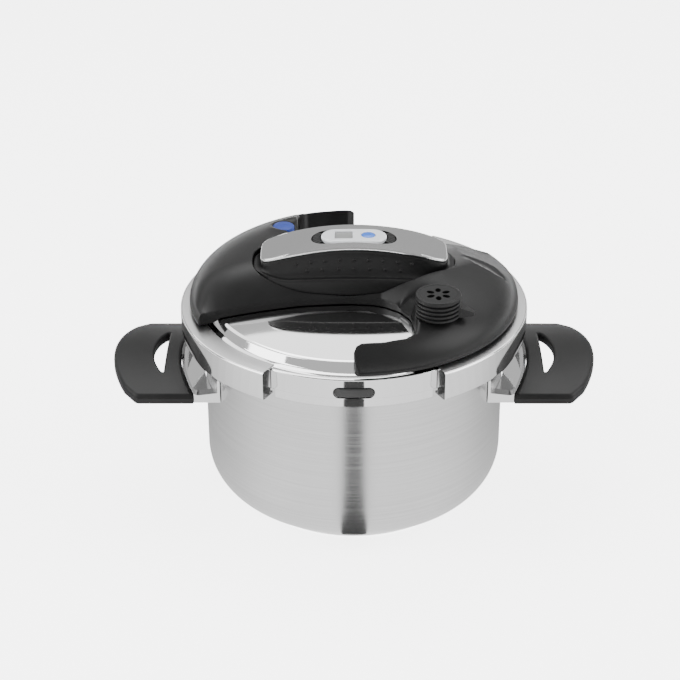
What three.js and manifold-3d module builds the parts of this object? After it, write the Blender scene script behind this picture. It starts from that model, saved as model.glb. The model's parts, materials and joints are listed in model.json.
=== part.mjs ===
// A domestic clamp-lid pressure cooker: a steel pot with two side handles, a domed lid held by two
// sliding jaws, and a pull-up handle with a lift-out timer on an S-shaped plastic cover.
// Millimetres, +Z up. The origin is on the pot's axis at the underside of its base.
// +X runs through the side handles and -Y is the front, where the valve knob stands.
import * as THREE from 'three';
import { mergeVertices } from 'three/addons/utils/BufferGeometryUtils.js';
import Module from 'manifold-3d';

const wasm = await Module();
wasm.setup();

// ---------- driving dimensions ----------
const SEGMENTS = 48;        // facets round a large revolved piece
const SMALL_SEGMENTS = 24;  // facets round a small one
const GAP = 0.3;            // clearance between pieces that touch

const POT_R = 112;          // outside of the pot wall
const POT_WALL = 1.2;
const CORNER_R = 36;        // rounded bottom corner of the pot
const BASE_R = 83;          // capsule base disc
const BASE_T = 5;
const FLANGE_R = 114.2;     // pot rim flange
const FLANGE_Z = 149;       // top of the pot rim

const SKIRT_R = 118;        // lid skirt, upper band
const SKIRT_LOW_R = 116;    // lid skirt, lower band
const SKIRT_Z = 132.5;      // bottom edge of the skirt
const STEP_Z = 140;         // step between the two skirt bands
const RIM_Z = 155;          // flat rim of the lid
const DOME_R = 104;         // edge of the dome
const DOME_EDGE_Z = 162.6;
const DOME_Z = 169.5;         // top of the dome
const LID_T = 1.2;

const JAW_R = 128.8;        // outside of the clamp jaws
const JAW_LIP_R = 115.2;    // inner edge of the lower lip
const JAW_FLANGE_R = 113;   // inner edge of the top flange
const JAW_LOW_Z = 135.2;
const JAW_TOP_Z = 157;
const JAW_T = 1.5;
const JAW_HALF_ANGLE = 60.5 * Math.PI / 180;
const ARM_HALF_Y = 12;

const COVER_R = 122;        // rim of the top cover
const COVER_EDGE_Z = 160.2; // lower edge of the cover above the jaws
const COVER_RISE = 34;      // height of the cover's crown above its rim
const COVER_T = 2.5;
const COVER_LIP = 6;        // height of the cover's open edge above the dome
const SLOPE_WIDTH = 38;     // width of the slope down to the open edge
const REAR_SLOPE_WIDTH = 70;
const REAR_LIP = 2.2;       // the rear edge is thinner than the front one
const CORNER_SLOPE_WIDTH = 18;

const HANDLE_A = 74;        // half length of the handle
const HANDLE_B = 29.7;      // half width of the handle
const BAND_A = 68.5;        // half length of the chrome band along its top
const BAND_B = 20.5;
const HANDLE_Z = 175.7;     // underside of the handle
const HANDLE_RISE = 4;      // how far the handle pulls up
const JAW_TRAVEL = 6;       // how far each jaw slides out meanwhile
const BAR_TOP_Z = 209;
const BAR_END_Z = 197;
const TRIM_T = 2;
const TIMER_HALF_X = 24;
const TIMER_HALF_Y = 10.5;
const TIMER_DEEP_Z = 194;

const KNOB = new THREE.Vector3(59, -76, 200.6);  // middle of the valve knob's top
const KNOB_R = 16.2;
const KNOB_LOW_Z = 185;
const BUTTON = new THREE.Vector3(-54, 62.8, 188); // middle of the release button's top
const SAFETY = new THREE.Vector3(-62, 40, 0);  // pressure relief valve in the lid

const SIDE_HALF_Y = 57;     // side handles: half width front to back
const SIDE_OUT_X = 181;
const SIDE_CORNER_X = 163;
const SIDE_IN_R = 130;
const SIDE_LOW_Z = 99;
const SIDE_T = 8;
const SIDE_ARCH = 8;        // how far the middle of a side handle rises above its ends

// ---------- materials ----------
const paint = (color, roughness, metalness) =>
  new THREE.MeshStandardMaterial({ color, roughness, metalness });
const satinSteel = () => paint(0xc9cacb, 0.32, 1);
const mirrorSteel = () => paint(0xdcdddf, 0.08, 1);
const chrome = () => paint(0xe2e3e6, 0.06, 1);
const blackPlastic = () => paint(0x2e2f31, 0.5, 0);
const rubber = () => paint(0x202123, 0.75, 0);
const bluePlastic = () => paint(0x2d4fa8, 0.4, 0);
const brass = () => paint(0xb8944e, 0.35, 1);
const whitePlastic = () => paint(0xe6e8ea, 0.35, 0);
const greyGlass = () => paint(0x8d938f, 0.2, 0);

const cooker = new THREE.Group();

function add(name, geometry, material) {
  const mesh = new THREE.Mesh(geometry, material);
  mesh.name = name;
  cooker.add(mesh);
  return mesh;
}

// ---------- solid helpers ----------
const point = (x, y) => new THREE.Vector2(x, y);

// Sweeps a closed (radius, height) outline round +Z.
function revolve(outline, segments = SEGMENTS) {
  const points = outline.map(([r, z]) => point(r, z));
  if (THREE.ShapeUtils.area(points) < 0) points.reverse();
  const closed = points[0].x > 0 || points.at(-1).x > 0;
  if (closed) points.push(points[0].clone());
  const geometry = new THREE.LatheGeometry(points, segments);
  geometry.rotateX(Math.PI / 2);
  return geometry;
}

function cylinder(radius, low, high, segments = SMALL_SEGMENTS) {
  return revolve([[0, low], [radius, low], [radius, high], [0, high]], segments);
}

function box(x0, x1, y0, y1, z0, z1) {
  const geometry = new THREE.BoxGeometry(x1 - x0, y1 - y0, z1 - z0);
  geometry.translate((x0 + x1) / 2, (y0 + y1) / 2, (z0 + z1) / 2);
  return geometry;
}

// Extrudes an XY outline upwards from z0 to z1.
function plate(outline, z0, z1) {
  const geometry = new THREE.ExtrudeGeometry(new THREE.Shape(outline), {
    depth: z1 - z0, bevelEnabled: false, curveSegments: 1,
  });
  geometry.translate(0, 0, z0);
  return geometry;
}

// Extrudes an XZ outline across Y, from -halfWidth to +halfWidth.
function sidePlate(outline, halfWidth) {
  const geometry = plate(outline, -halfWidth, halfWidth);
  geometry.rotateX(Math.PI / 2);
  return geometry;
}

function solid(geometry) {
  let plain = geometry.clone();
  plain.deleteAttribute('normal');
  plain.deleteAttribute('uv');
  plain = mergeVertices(plain, 1e-3);
  let faces = Array.from(plain.index.array);
  faces = faces.filter((_, i) => {
    const t = faces.slice(i - i % 3, i - i % 3 + 3);
    return t[0] !== t[1] && t[1] !== t[2] && t[2] !== t[0];
  });
  const body = new wasm.Manifold(new wasm.Mesh({
    numProp: 3,
    vertProperties: new Float32Array(plain.attributes.position.array),
    triVerts: new Uint32Array(faces),
  }));
  return body;
}

function geometryOf(body) {
  const mesh = body.getMesh();
  const geometry = new THREE.BufferGeometry();
  geometry.setAttribute('position', new THREE.BufferAttribute(mesh.vertProperties, 3));
  geometry.setIndex(new THREE.BufferAttribute(mesh.triVerts, 1));
  geometry.computeVertexNormals();
  return geometry;
}

const cut = (first, ...others) =>
  geometryOf(others.reduce((body, other) => body.subtract(solid(other)), solid(first)));
const join = (first, ...others) =>
  geometryOf(others.reduce((body, other) => body.add(solid(other)), solid(first)));
const common = (first, ...others) =>
  geometryOf(others.reduce((body, other) => body.intersect(solid(other)), solid(first)));

function moved(geometry, x, y, z) {
  return geometry.clone().translate(x, y, z);
}

// Points of an arc about (cx, cy), from angle a0 to a1 in degrees.
function arc(cx, cy, radius, a0, a1, steps) {
  const points = [];
  for (let i = 0; i <= steps; i += 1) {
    const angle = (a0 + (a1 - a0) * i / steps) * Math.PI / 180;
    points.push(point(cx + radius * Math.cos(angle), cy + radius * Math.sin(angle)));
  }
  return points;
}
const pairs = (points) => points.map((p) => [p.x, p.y]);

// ---------- pot ----------
const POT_FLOOR_Z = BASE_T + GAP;
const FLAT_R = POT_R - CORNER_R;
const cornerArc = (radius) =>
  pairs(arc(FLAT_R, POT_FLOOR_Z + CORNER_R, radius, -90, 0, 7));
add('pot_body', revolve([
  [0, POT_FLOOR_Z], ...cornerArc(CORNER_R),
  [POT_R, FLANGE_Z - 3], [FLANGE_R, FLANGE_Z - 2], [FLANGE_R, FLANGE_Z - 0.6],
  [FLANGE_R - 0.6, FLANGE_Z], [POT_R - POT_WALL, FLANGE_Z],
  ...cornerArc(CORNER_R - POT_WALL).reverse(), [0, POT_FLOOR_Z + POT_WALL],
]), satinSteel());
add('base_disc', revolve([
  [0, 0], [BASE_R - 1.5, 0], [BASE_R, 1.5], [BASE_R, BASE_T - 1], [BASE_R - 2, BASE_T], [0, BASE_T],
]), satinSteel());

// ---------- side handles and their brackets ----------
// Half-round plan: outer edge bowed, inner edge on a circle about the pot, corners cut.
const SIDE_BOW = SIDE_OUT_X - SIDE_CORNER_X;
const SIDE_BOW_R = (SIDE_HALF_Y ** 2 + SIDE_BOW ** 2) / (2 * SIDE_BOW);
const sweepOf = (reach, radius) => Math.asin(reach / radius) * 180 / Math.PI;
const outerSweep = sweepOf(SIDE_HALF_Y, SIDE_BOW_R) - 7;
const innerSweep = sweepOf(SIDE_HALF_Y, SIDE_IN_R);
const sideOutline = [
  ...arc(SIDE_OUT_X - SIDE_BOW_R, 0, SIDE_BOW_R, -outerSweep, outerSweep, 10),
  point(SIDE_CORNER_X - 3, SIDE_HALF_Y),
  ...arc(0, 0, SIDE_IN_R, innerSweep, -innerSweep, 8),
  point(SIDE_CORNER_X - 3, -SIDE_HALF_Y),
];
const SLOT_X0 = 141.5;
const SLOT_X1 = 151;
const SLOT_HALF_Y = 31;
const slotOutline = [
  ...arc(SLOT_X1 - 60, 0, 60, -29, 29, 6),
  point(SLOT_X0 + 3, SLOT_HALF_Y), point(SLOT_X0, SLOT_HALF_Y - 3),
  point(SLOT_X0, 3 - SLOT_HALF_Y), point(SLOT_X0 + 3, -SLOT_HALF_Y),
];

// A slab along X that rises in an arch, highest on y = 0.
const archRise = (y) => SIDE_ARCH * (1 - (y / SIDE_HALF_Y) ** 2);
function archedSlab(x0, x1, low, thickness) {
  const steps = 10;
  const under = [];
  const over = [];
  for (let i = 0; i <= steps; i += 1) {
    const y = (2 * i / steps - 1) * (SIDE_HALF_Y + 1);
    under.push(point(y, low + archRise(y)));
    over.unshift(point(y, low + thickness + archRise(y)));
  }
  const slab = plate([...under, ...over], x0, x1);
  return slab.rotateX(Math.PI / 2).rotateZ(Math.PI / 2);
}
const sideBlank = cut(common(plate(sideOutline, SIDE_LOW_Z - 5, SIDE_LOW_Z + 30),
  archedSlab(100, 200, SIDE_LOW_Z, SIDE_T)),
  plate(slotOutline, SIDE_LOW_Z - 6, SIDE_LOW_Z + 31));

// One screw from below holds each handle to its bracket; its head hangs under the web.
const SCREW_X = 133.8;
const SCREW_SEAT_Z = SIDE_LOW_Z + SIDE_ARCH;
const sideHandle = cut(sideBlank,
  moved(cylinder(1.9, SCREW_SEAT_Z - 5, SCREW_SEAT_Z + 4.6, 12), SCREW_X, 0, 0));
const handleScrew = join(cylinder(3.2, SCREW_SEAT_Z - 2.8, SCREW_SEAT_Z - GAP, 12),
  cylinder(1.6, SCREW_SEAT_Z - 1, SCREW_SEAT_Z + 4, 12));

// Chrome guard between a handle and the pot: an outer wall with two arms to the pot wall.
const GUARD_R = SIDE_IN_R - GAP;
const GUARD_T = 2;
const GUARD_LOW_Z = 100;
const GUARD_HIGH_Z = 118;
const GUARD_HALF_Y = 55;
const guardSweep = sweepOf(GUARD_HALF_Y, GUARD_R);
const guardInner = sweepOf(GUARD_HALF_Y, POT_R + GAP);
const guardBlank = plate([
  ...arc(0, 0, GUARD_R, -guardSweep, guardSweep, 10),
  ...arc(0, 0, POT_R + GAP + 0.2, guardInner, -guardInner, 10),
], GUARD_LOW_Z, GUARD_HIGH_Z);
const guardInside = plate([
  ...arc(0, 0, GUARD_R - GUARD_T, -guardSweep + 3, guardSweep - 3, 10),
  ...arc(0, 0, POT_R - 4, guardInner - 4, -guardInner + 4, 10),
], GUARD_LOW_Z + 2.5, GUARD_HIGH_Z + 1);
const guardSlope = sidePlate([
  point(100, GUARD_HIGH_Z + 1), point(100, GUARD_LOW_Z + 8), point(115, GUARD_LOW_Z + 6),
  point(132, GUARD_HIGH_Z - 2), point(132, GUARD_HIGH_Z + 1),
], 70);
const guard = cut(guardBlank, guardInside, guardSlope);

for (const [side, turn] of [['right', 0], ['left', Math.PI]]) {
  add(`${side}_side_handle`, sideHandle.clone().rotateZ(turn), blackPlastic());
  add(`${side}_handle_guard`, guard.clone().rotateZ(turn), chrome());
}

for (const [side, sign] of [['right', 1], ['left', -1]]) {
  add(`${side}_handle_screw`, moved(handleScrew, sign * SCREW_X, 0, 0), satinSteel());
}

// ---------- lid ----------
// The dome is a shallow paraboloid.
const domeZ = (r) => DOME_Z - (DOME_Z - DOME_EDGE_Z) * (r / DOME_R) ** 2;
const DOME_STEPS = [0.25, 0.5, 0.75, 1].map((share) => share * DOME_R);
const RIM_IN_R = 108.6;
const skirtIn = (r) => r - LID_T;
const WINDOW_HALF_X = 14.5;
const lidRevolved = revolve([
  [0, DOME_Z], ...DOME_STEPS.map((r) => [r, domeZ(r)]),
  [DOME_R + 1.6, DOME_EDGE_Z - 1.2], [RIM_IN_R, RIM_Z + 1], [RIM_IN_R + 3.2, RIM_Z],
  [SKIRT_R - 1.2, RIM_Z], [SKIRT_R, RIM_Z - 1.2], [SKIRT_R, STEP_Z],
  [SKIRT_LOW_R, STEP_Z - 1], [SKIRT_LOW_R, SKIRT_Z],
  [skirtIn(SKIRT_LOW_R), SKIRT_Z], [skirtIn(SKIRT_LOW_R), STEP_Z - 0.6],
  [skirtIn(SKIRT_R), STEP_Z + 0.4], [skirtIn(SKIRT_R), RIM_Z - 1.8],
  [skirtIn(SKIRT_R) - 0.6, RIM_Z - LID_T], [RIM_IN_R + 2.6, RIM_Z - LID_T],
  [RIM_IN_R - 1, RIM_Z], [DOME_R + 0.6, DOME_EDGE_Z - LID_T - 1.1],
  [DOME_R - 0.4, DOME_EDGE_Z - LID_T],
  ...DOME_STEPS.slice(0, -1).reverse().map((r) => [r, domeZ(r) - LID_T]), [0, DOME_Z - LID_T],
]);
const SIDE_CUT_Y = 96;      // the skirt is cut away beside the handles
const LOW_CUT_Y = 102;
const VALVE_HOLE_R = 6.2;
const PRESSURE_PIN = { x: 62, y: -40, r: 2.2 };
const lidShell = cut(lidRevolved,
  box(-140, 140, -LOW_CUT_Y, LOW_CUT_Y, SKIRT_Z - 2, STEP_Z - 1),
  box(-140, 140, -SIDE_CUT_Y, SIDE_CUT_Y, STEP_Z - 2, RIM_Z - 4),
  box(-WINDOW_HALF_X, WINDOW_HALF_X, -125, -105, STEP_Z - 0.2, STEP_Z + 9),
  moved(cylinder(VALVE_HOLE_R, 150, 190), KNOB.x, KNOB.y, 0),
  moved(cylinder(VALVE_HOLE_R, 150, 190), SAFETY.x, SAFETY.y, 0),
  moved(cylinder(PRESSURE_PIN.r + 0.4, 150, 190, 16), PRESSURE_PIN.x, PRESSURE_PIN.y, 0),
  cylinder(5, 150, 190));
add('lid_shell', lidShell, mirrorSteel());

// The gasket sits under the lid's flat rim, and its tab fills the window in the skirt.
const GASKET_LOW_Z = FLANGE_Z + GAP;
const GASKET_HIGH_Z = RIM_Z - LID_T - GAP;
const gasketRing = revolve([
  [105, GASKET_LOW_Z + 1.5], [108, GASKET_LOW_Z], [115.4, GASKET_LOW_Z],
  [115.4, GASKET_HIGH_Z], [112, GASKET_HIGH_Z], [109, GASKET_LOW_Z + 2.4],
]);
add('lid_gasket', gasketRing, rubber());
const tabRing = revolve([
  [114.7, STEP_Z + 0.6], [117.6, STEP_Z + 0.6], [118.3, STEP_Z + 2], [118.3, STEP_Z + 7],
  [117.6, STEP_Z + 8.4], [114.7, STEP_Z + 8.4],
], 180);
const tabHalf = WINDOW_HALF_X - GAP;
add('gasket_tab', common(tabRing, box(-tabHalf, tabHalf, -125, -105, 130, 160)), rubber());

// ---------- clamp jaws and their arms ----------
function sector(halfAngle, radius, z0, z1) {
  const degrees = halfAngle * 180 / Math.PI;
  return plate([point(0, 0), ...arc(0, 0, radius, -degrees, degrees, 20)], z0, z1);
}
const ARM_LOW_Z = JAW_TOP_Z + GAP;
const ARM_T = 1.8;
const jawRing = revolve([
  [JAW_LIP_R, JAW_LOW_Z], [JAW_R - 1.5, JAW_LOW_Z], [JAW_R, JAW_LOW_Z + 1.5],
  [JAW_R, JAW_TOP_Z - 1], [JAW_R - 1, JAW_TOP_Z], [JAW_FLANGE_R, JAW_TOP_Z],
  [JAW_FLANGE_R, JAW_TOP_Z - JAW_T + 0.1], [JAW_R - JAW_T, JAW_TOP_Z - JAW_T + 0.1],
  [JAW_R - JAW_T, JAW_LOW_Z + JAW_T], [JAW_LIP_R, JAW_LOW_Z + JAW_T],
], 72);
// Near the side handle the jaw's lower edge rises in a long curve, to clear fingers.
const jawArch = sidePlate([
  point(100, JAW_LOW_Z - 1), point(100, JAW_LOW_Z + 3), point(140, JAW_LOW_Z + 3),
  point(140, JAW_LOW_Z - 1),
], 60);
const jaw = cut(common(jawRing, sector(JAW_HALF_ANGLE, 160, 120, 170)), jawArch);
const ARM_Z = 170.4;
// The handle's wedge is widest at its foot, so pulling it up spreads the arms' leaning ends.
const WEDGE_LOW_Z = 171.4;
const WEDGE_TOP_Z = 177.6;
const LUG_TOP_Z = 177;
const wedgeHalf = (z) => 20 - (z - WEDGE_LOW_Z) * JAW_TRAVEL / HANDLE_RISE;
const lugX = (z) => wedgeHalf(z) + 0.35;
const armProfile = [
  point(lugX(WEDGE_LOW_Z) + 0.4, ARM_Z), point(88, ARM_Z), point(98, 168.3),
  point(104.4, 165), point(107.4, 161.5), point(110.6, ARM_LOW_Z), point(120, ARM_LOW_Z),
  point(120, ARM_LOW_Z + ARM_T), point(111.6, ARM_LOW_Z + ARM_T), point(109, 162.6),
  point(105.6, 166.6), point(98.6, 170.1), point(88.5, ARM_Z + ARM_T), point(24, ARM_Z + ARM_T),
  point(lugX(LUG_TOP_Z) + 3.4, LUG_TOP_Z), point(lugX(LUG_TOP_Z), LUG_TOP_Z),
  point(lugX(WEDGE_LOW_Z), WEDGE_LOW_Z),
];
const arm = sidePlate(armProfile, ARM_HALF_Y);
for (const [side, turn] of [['right', 0], ['left', Math.PI]]) {
  add(`${side}_jaw`, jaw.clone().rotateZ(turn), chrome());
  add(`${side}_jaw_arm`, arm.clone().rotateZ(turn), satinSteel());
}

// ---------- top cover ----------
// Plan of the S: two wings on the rim, joined past the handle. The front edge runs from the left
// wing's tip to the knob, the rear edge from the right wing to the waist, and each wing ends in
// a steep-walled tip.
const FRONT_EDGE = [[-106, -45], [-99, -42], [-68, -37], [-39, -33], [-3, -31.5], [19, -33.5],
  [33, -42]];
const REAR_EDGE = [[103.4, 64.2], [94, 70], [84, 76], [72, 80], [58, 74], [46, 58], [36, 42],
  [24, 35]];
const CORNER_EDGE = [[-33, 42], [-41, 53], [-43.3, 62]];
const WAIST_EDGE = [[24, 35], [3, 31.5], [-19, 33.5], [-33, 42]];
const STEEP_EDGE = [[-41, 53], [-43.5, 70], [-43.5, 90], [-42, 97], [-38, 102.5], [-20, 108],
  [-5, 109.6], [-1.5, 111.5], [0.3, 115], [-0.8, 119.8]];
const line = (list) => list.map(([x, y]) => point(x, y));
const halfTurn = (points) => points.map((p) => point(-p.x, -p.y));
const frontEdge = line(FRONT_EDGE);
const rearEdge = line(REAR_EDGE);
const waistEdge = line(WAIST_EDGE);
const cornerEdge = line(CORNER_EDGE);
const steepEdge = line(STEEP_EDGE);
const coverPlan = [...arc(0, 0, COVER_R - 0.1, -88.6, 29.4, 17), ...rearEdge,
  ...waistEdge.slice(1), ...steepEdge, ...arc(0, 0, COVER_R - 0.1, 91.4, 203, 16), ...frontEdge,
  ...halfTurn(steepEdge)];

// Moves a counter-clockwise outline inwards by d.
function inset(outline, d) {
  return outline.map((p, i) => {
    const before = outline[(i + outline.length - 1) % outline.length];
    const after = outline[(i + 1) % outline.length];
    const along = after.clone().sub(before).normalize();
    return point(p.x - along.y * d, p.y + along.x * d);
  });
}
function isInside(outline, p) {
  let inside = false;
  outline.forEach((a, i) => {
    const b = outline[(i + 1) % outline.length];
    if ((a.y > p.y) !== (b.y > p.y) && p.x < a.x + (b.x - a.x) * (p.y - a.y) / (b.y - a.y)) {
      inside = !inside;
    }
  });
  return inside;
}
function distanceTo(line, p) {
  let nearest = Infinity;
  for (let i = 1; i < line.length; i += 1) {
    const along = line[i].clone().sub(line[i - 1]);
    const share = p.clone().sub(line[i - 1]).dot(along) / along.lengthSq();
    const foot = line[i - 1].clone().addScaledVector(along, THREE.MathUtils.clamp(share, 0, 1));
    nearest = Math.min(nearest, foot.distanceTo(p));
  }
  return nearest;
}

// Height of the cover's top: a flattened crown that slopes down to the open edge.
function coverZ(x, y) {
  const r = Math.hypot(x, y);
  const crown = COVER_EDGE_Z - 0.2
    + COVER_RISE * Math.sqrt(Math.max(0, 1 - (r / COVER_R) ** 4));
  const dome = domeZ(Math.min(r, DOME_R));
  const p = point(x, y);
  const outside = !isInside(coverPlan, p);
  const steep = Math.min(distanceTo(steepEdge, p), distanceTo(halfTurn(steepEdge), p));
  const nearest = Math.min(steep, ...[frontEdge, waistEdge, rearEdge].map((e) => distanceTo(e, p)));
  const slope = (edge, width, power, lip) => {
    const away = distanceTo(edge, p);
    const share = Math.min(1, (outside && away === nearest ? -away : away) / width);
    const low = Math.min(crown, dome + lip);
    return low + (crown - low) * (1 - (1 - share) ** power);
  };
  return Math.min(slope(frontEdge, SLOPE_WIDTH, 2.2, COVER_LIP),
    slope(waistEdge, SLOPE_WIDTH, 2.2, COVER_LIP), slope(rearEdge, REAR_SLOPE_WIDTH, 1.3, REAR_LIP),
    slope(cornerEdge, CORNER_SLOPE_WIDTH, 2.2, COVER_LIP),
    slope(halfTurn(cornerEdge), CORNER_SLOPE_WIDTH, 2.2, COVER_LIP));
}

// A solid between z = low and a height given over a round grid.
function heightSolid(height, radii, steps, low) {
  const rings = [radii.at(-1), ...radii.toReversed()];
  const positions = [0, 0, low, 0, 0, height(0, 0)];
  rings.forEach((r, ring) => {
    for (let i = 0; i < steps; i += 1) {
      const angle = 2 * Math.PI * i / steps;
      const x = r * Math.cos(angle);
      const y = r * Math.sin(angle);
      positions.push(x, y, ring === 0 ? low : height(x, y));
    }
  });
  const at = (ring, i) => 2 + ring * steps + i % steps;
  const faces = [];
  for (let i = 0; i < steps; i += 1) {
    faces.push(0, at(0, i + 1), at(0, i));
    for (let ring = 1; ring < rings.length; ring += 1) {
      faces.push(at(ring - 1, i), at(ring - 1, i + 1), at(ring, i + 1));
      faces.push(at(ring - 1, i), at(ring, i + 1), at(ring, i));
    }
    faces.push(1, at(rings.length - 1, i), at(rings.length - 1, i + 1));
  }
  const geometry = new THREE.BufferGeometry();
  geometry.setAttribute('position', new THREE.Float32BufferAttribute(positions, 3));
  geometry.setIndex(faces);
  return geometry;
}
const COVER_RADII = [20, 34, 46, 58, 70, 80, 90, 98, 105, 110, 114, 117, 119.4, 121, 121.96];
const INNER_RADII = [34, 46, 58, 70, 80, 90, 98, 105, 110, 114, 117, 119.3];

// The handle's outline and the chrome band's are superellipses.
const HANDLE_POWER = 3;
const BAND_POWER = 6;
function ovalPoint(a, b, power, angle) {
  const c = Math.cos(angle);
  const s = Math.sin(angle);
  return point(a * Math.sign(c) * Math.abs(c) ** (2 / power),
    b * Math.sign(s) * Math.abs(s) ** (2 / power));
}
const oval = (a, b, steps = 48) =>
  Array.from({ length: steps }, (_, i) => ovalPoint(a, b, HANDLE_POWER, 2 * Math.PI * i / steps));

const POCKET_Z = HANDLE_Z - GAP;
const FLOOR_T = 2.4;
const coverOuter = common(heightSolid(coverZ, COVER_RADII, 80, 140), plate(coverPlan, 130, 220));
const innerZ = (x, y) => coverZ(x * 1.02, y * 1.02) - COVER_T;
const coverInner = cut(common(heightSolid(innerZ, INNER_RADII, 60, 130),
  plate(inset(coverPlan, COVER_T), 120, 220)),
plate(oval(HANDLE_A + GAP + COVER_T, HANDLE_B + GAP + COVER_T, 40), POCKET_Z - FLOOR_T, 230));
const domeClear = revolve([[0, 120], [135, 120], [135, COVER_EDGE_Z], [109.5, COVER_EDGE_Z],
  [106.8, DOME_EDGE_Z - 0.3], ...DOME_STEPS.map((r) => [r, domeZ(r) + 0.8]).reverse(),
  [0, DOME_Z + 0.8]]);
const WELL_R = 17.2;
const WELL_Z = KNOB_LOW_Z - 0.5;
const HOUSING_R = 15;
const BUTTON_R = 8.2;
const WINDOW_X = 31;        // opening in the floor for the wedge and the arms' ends
const POST = { x: 84, y: -36, r: 5 };
const housing = cut(moved(cylinder(HOUSING_R, 168, WELL_Z), KNOB.x, KNOB.y, 0), domeClear);
const bosses = [1, -1].map((sign) => moved(cylinder(POST.r, 176, 186, 16),
  sign * POST.x, sign * POST.y, 0));
add('top_cover', cut(join(cut(coverOuter, coverInner, domeClear), housing, ...bosses),
  plate(oval(HANDLE_A + GAP, HANDLE_B + GAP, 40), POCKET_Z, 230),
  box(-WINDOW_X, WINDOW_X, -ARM_HALF_Y - 1, ARM_HALF_Y + 1, 160, 180),
  moved(cylinder(WELL_R, WELL_Z, 220), KNOB.x, KNOB.y, 0),
  moved(cylinder(HOUSING_R - 2.5, 160, 220), KNOB.x, KNOB.y, 0),
  moved(cylinder(BUTTON_R + GAP, 170, 200), BUTTON.x, BUTTON.y, 0),
  ...[1, -1].map((sign) => moved(cylinder(1.9, 170, 183, 12), sign * POST.x, sign * POST.y, 0))),
blackPlastic());

// Two posts on the dome carry the cover; their screws come up from inside the lid.
const postFootZ = domeZ(Math.hypot(POST.x, POST.y) - POST.r) + 0.4;
const post = cut(cylinder(POST.r, postFootZ, 176 - GAP, 16), cylinder(1.9, 160, 180, 12));
for (const [side, sign] of [['right', 1], ['left', -1]]) {
  add(`${side}_cover_post`, moved(post, sign * POST.x, sign * POST.y, 0), satinSteel());
  add(`${side}_cover_screw`, moved(cylinder(1.6, postFootZ + 1, 182, 12),
    sign * POST.x, sign * POST.y, 0), satinSteel());
}

// ---------- pull-up handle ----------
// Height of the band's arched top over x.
const barZ = (x) => BAR_TOP_Z - (BAR_TOP_Z - BAR_END_Z) * (x / 68) ** 2;

// Stacks ovals of (half length, half width, power, height over x); the last closes to a ridge.
function ovalSolid(rings, steps) {
  const positions = [];
  for (const [a, b, power, height] of rings) {
    for (let i = 0; i < steps; i += 1) {
      const p = ovalPoint(a, b, power, 2 * Math.PI * i / steps);
      positions.push(p.x, p.y, height(p.x));
    }
  }
  const last = rings.length * steps;
  positions.push(0, 0, rings[0][3](0), 0, 0, rings.at(-1)[3](0));
  const at = (ring, i) => ring * steps + i % steps;
  const faces = [];
  for (let i = 0; i < steps; i += 1) {
    faces.push(last, at(0, i + 1), at(0, i));
    for (let ring = 1; ring < rings.length; ring += 1) {
      faces.push(at(ring - 1, i), at(ring - 1, i + 1), at(ring, i + 1));
      faces.push(at(ring - 1, i), at(ring, i + 1), at(ring, i));
    }
    faces.push(last + 1, at(rings.length - 1, i), at(rings.length - 1, i + 1));
  }
  const geometry = new THREE.BufferGeometry();
  geometry.setAttribute('position', new THREE.Float32BufferAttribute(positions, 3));
  geometry.setIndex(faces);
  return geometry;
}
const SHARES = [0.85, 0.65, 0.4, 0.15];
const topRings = (drop) => [1, ...SHARES].map((share) =>
  [BAND_A * share, BAND_B * share, BAND_POWER, (x) => barZ(x) - drop]);
const bandLowZ = (x) => barZ(x) - TRIM_T - GAP;
// Part of the way from the underside up to the band; at the handle's ends the wall comes up
// level with the cover.
const END_Z = 188;
function partWay(share) {
  return (x) => {
    const end = THREE.MathUtils.smoothstep(Math.abs(x), 46, 70);
    const level = END_Z + (bandLowZ(70) - END_Z) * THREE.MathUtils.smoothstep(share, 0.3, 1);
    return (HANDLE_Z + (bandLowZ(x) - HANDLE_Z) * share) * (1 - end) + level * end;
  };
}

const CAVITY_TOP_Z = WEDGE_TOP_Z + GAP;
const GUIDE_R = 3.6;
const GUIDE_TOP_Z = 188;
const WEDGE_SCREW_Y = 8;
const TIMER_CLIP_X = 31;
const timerPocket = box(-TIMER_HALF_X - 0.4, TIMER_HALF_X + 0.4, -TIMER_HALF_Y - 0.4,
  TIMER_HALF_Y + 0.4, TIMER_DEEP_Z - GAP, 220);
// Upright wall, rounded rib, then a hollow face for the fingertips up to the band.
add('handle_body', cut(ovalSolid([
  [HANDLE_A, HANDLE_B, 3, () => HANDLE_Z], [HANDLE_A, HANDLE_B, 3, partWay(0.33)],
  [HANDLE_A - 0.7, HANDLE_B - 1.2, 3, partWay(0.4)], [HANDLE_A - 1.8, 26.4, 3.2, partWay(0.41)],
  [HANDLE_A - 3.4, 23.6, 4, partWay(0.47)], [BAND_A + 0.2, 21.6, 5, partWay(0.64)],
  [BAND_A - 0.2, BAND_B - 0.1, BAND_POWER, partWay(0.82)], ...topRings(TRIM_T + GAP)], 64),
timerPocket, cylinder(GUIDE_R + 0.4, 170, GUIDE_TOP_Z + 1),
box(-WINDOW_X, WINDOW_X, -ARM_HALF_Y - 1, ARM_HALF_Y + 1, 170, CAVITY_TOP_Z),
...[1, -1].map((sign) => moved(cylinder(1.9, 170, 186, 12), 0, sign * WEDGE_SCREW_Y, 0))),
blackPlastic());

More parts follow.
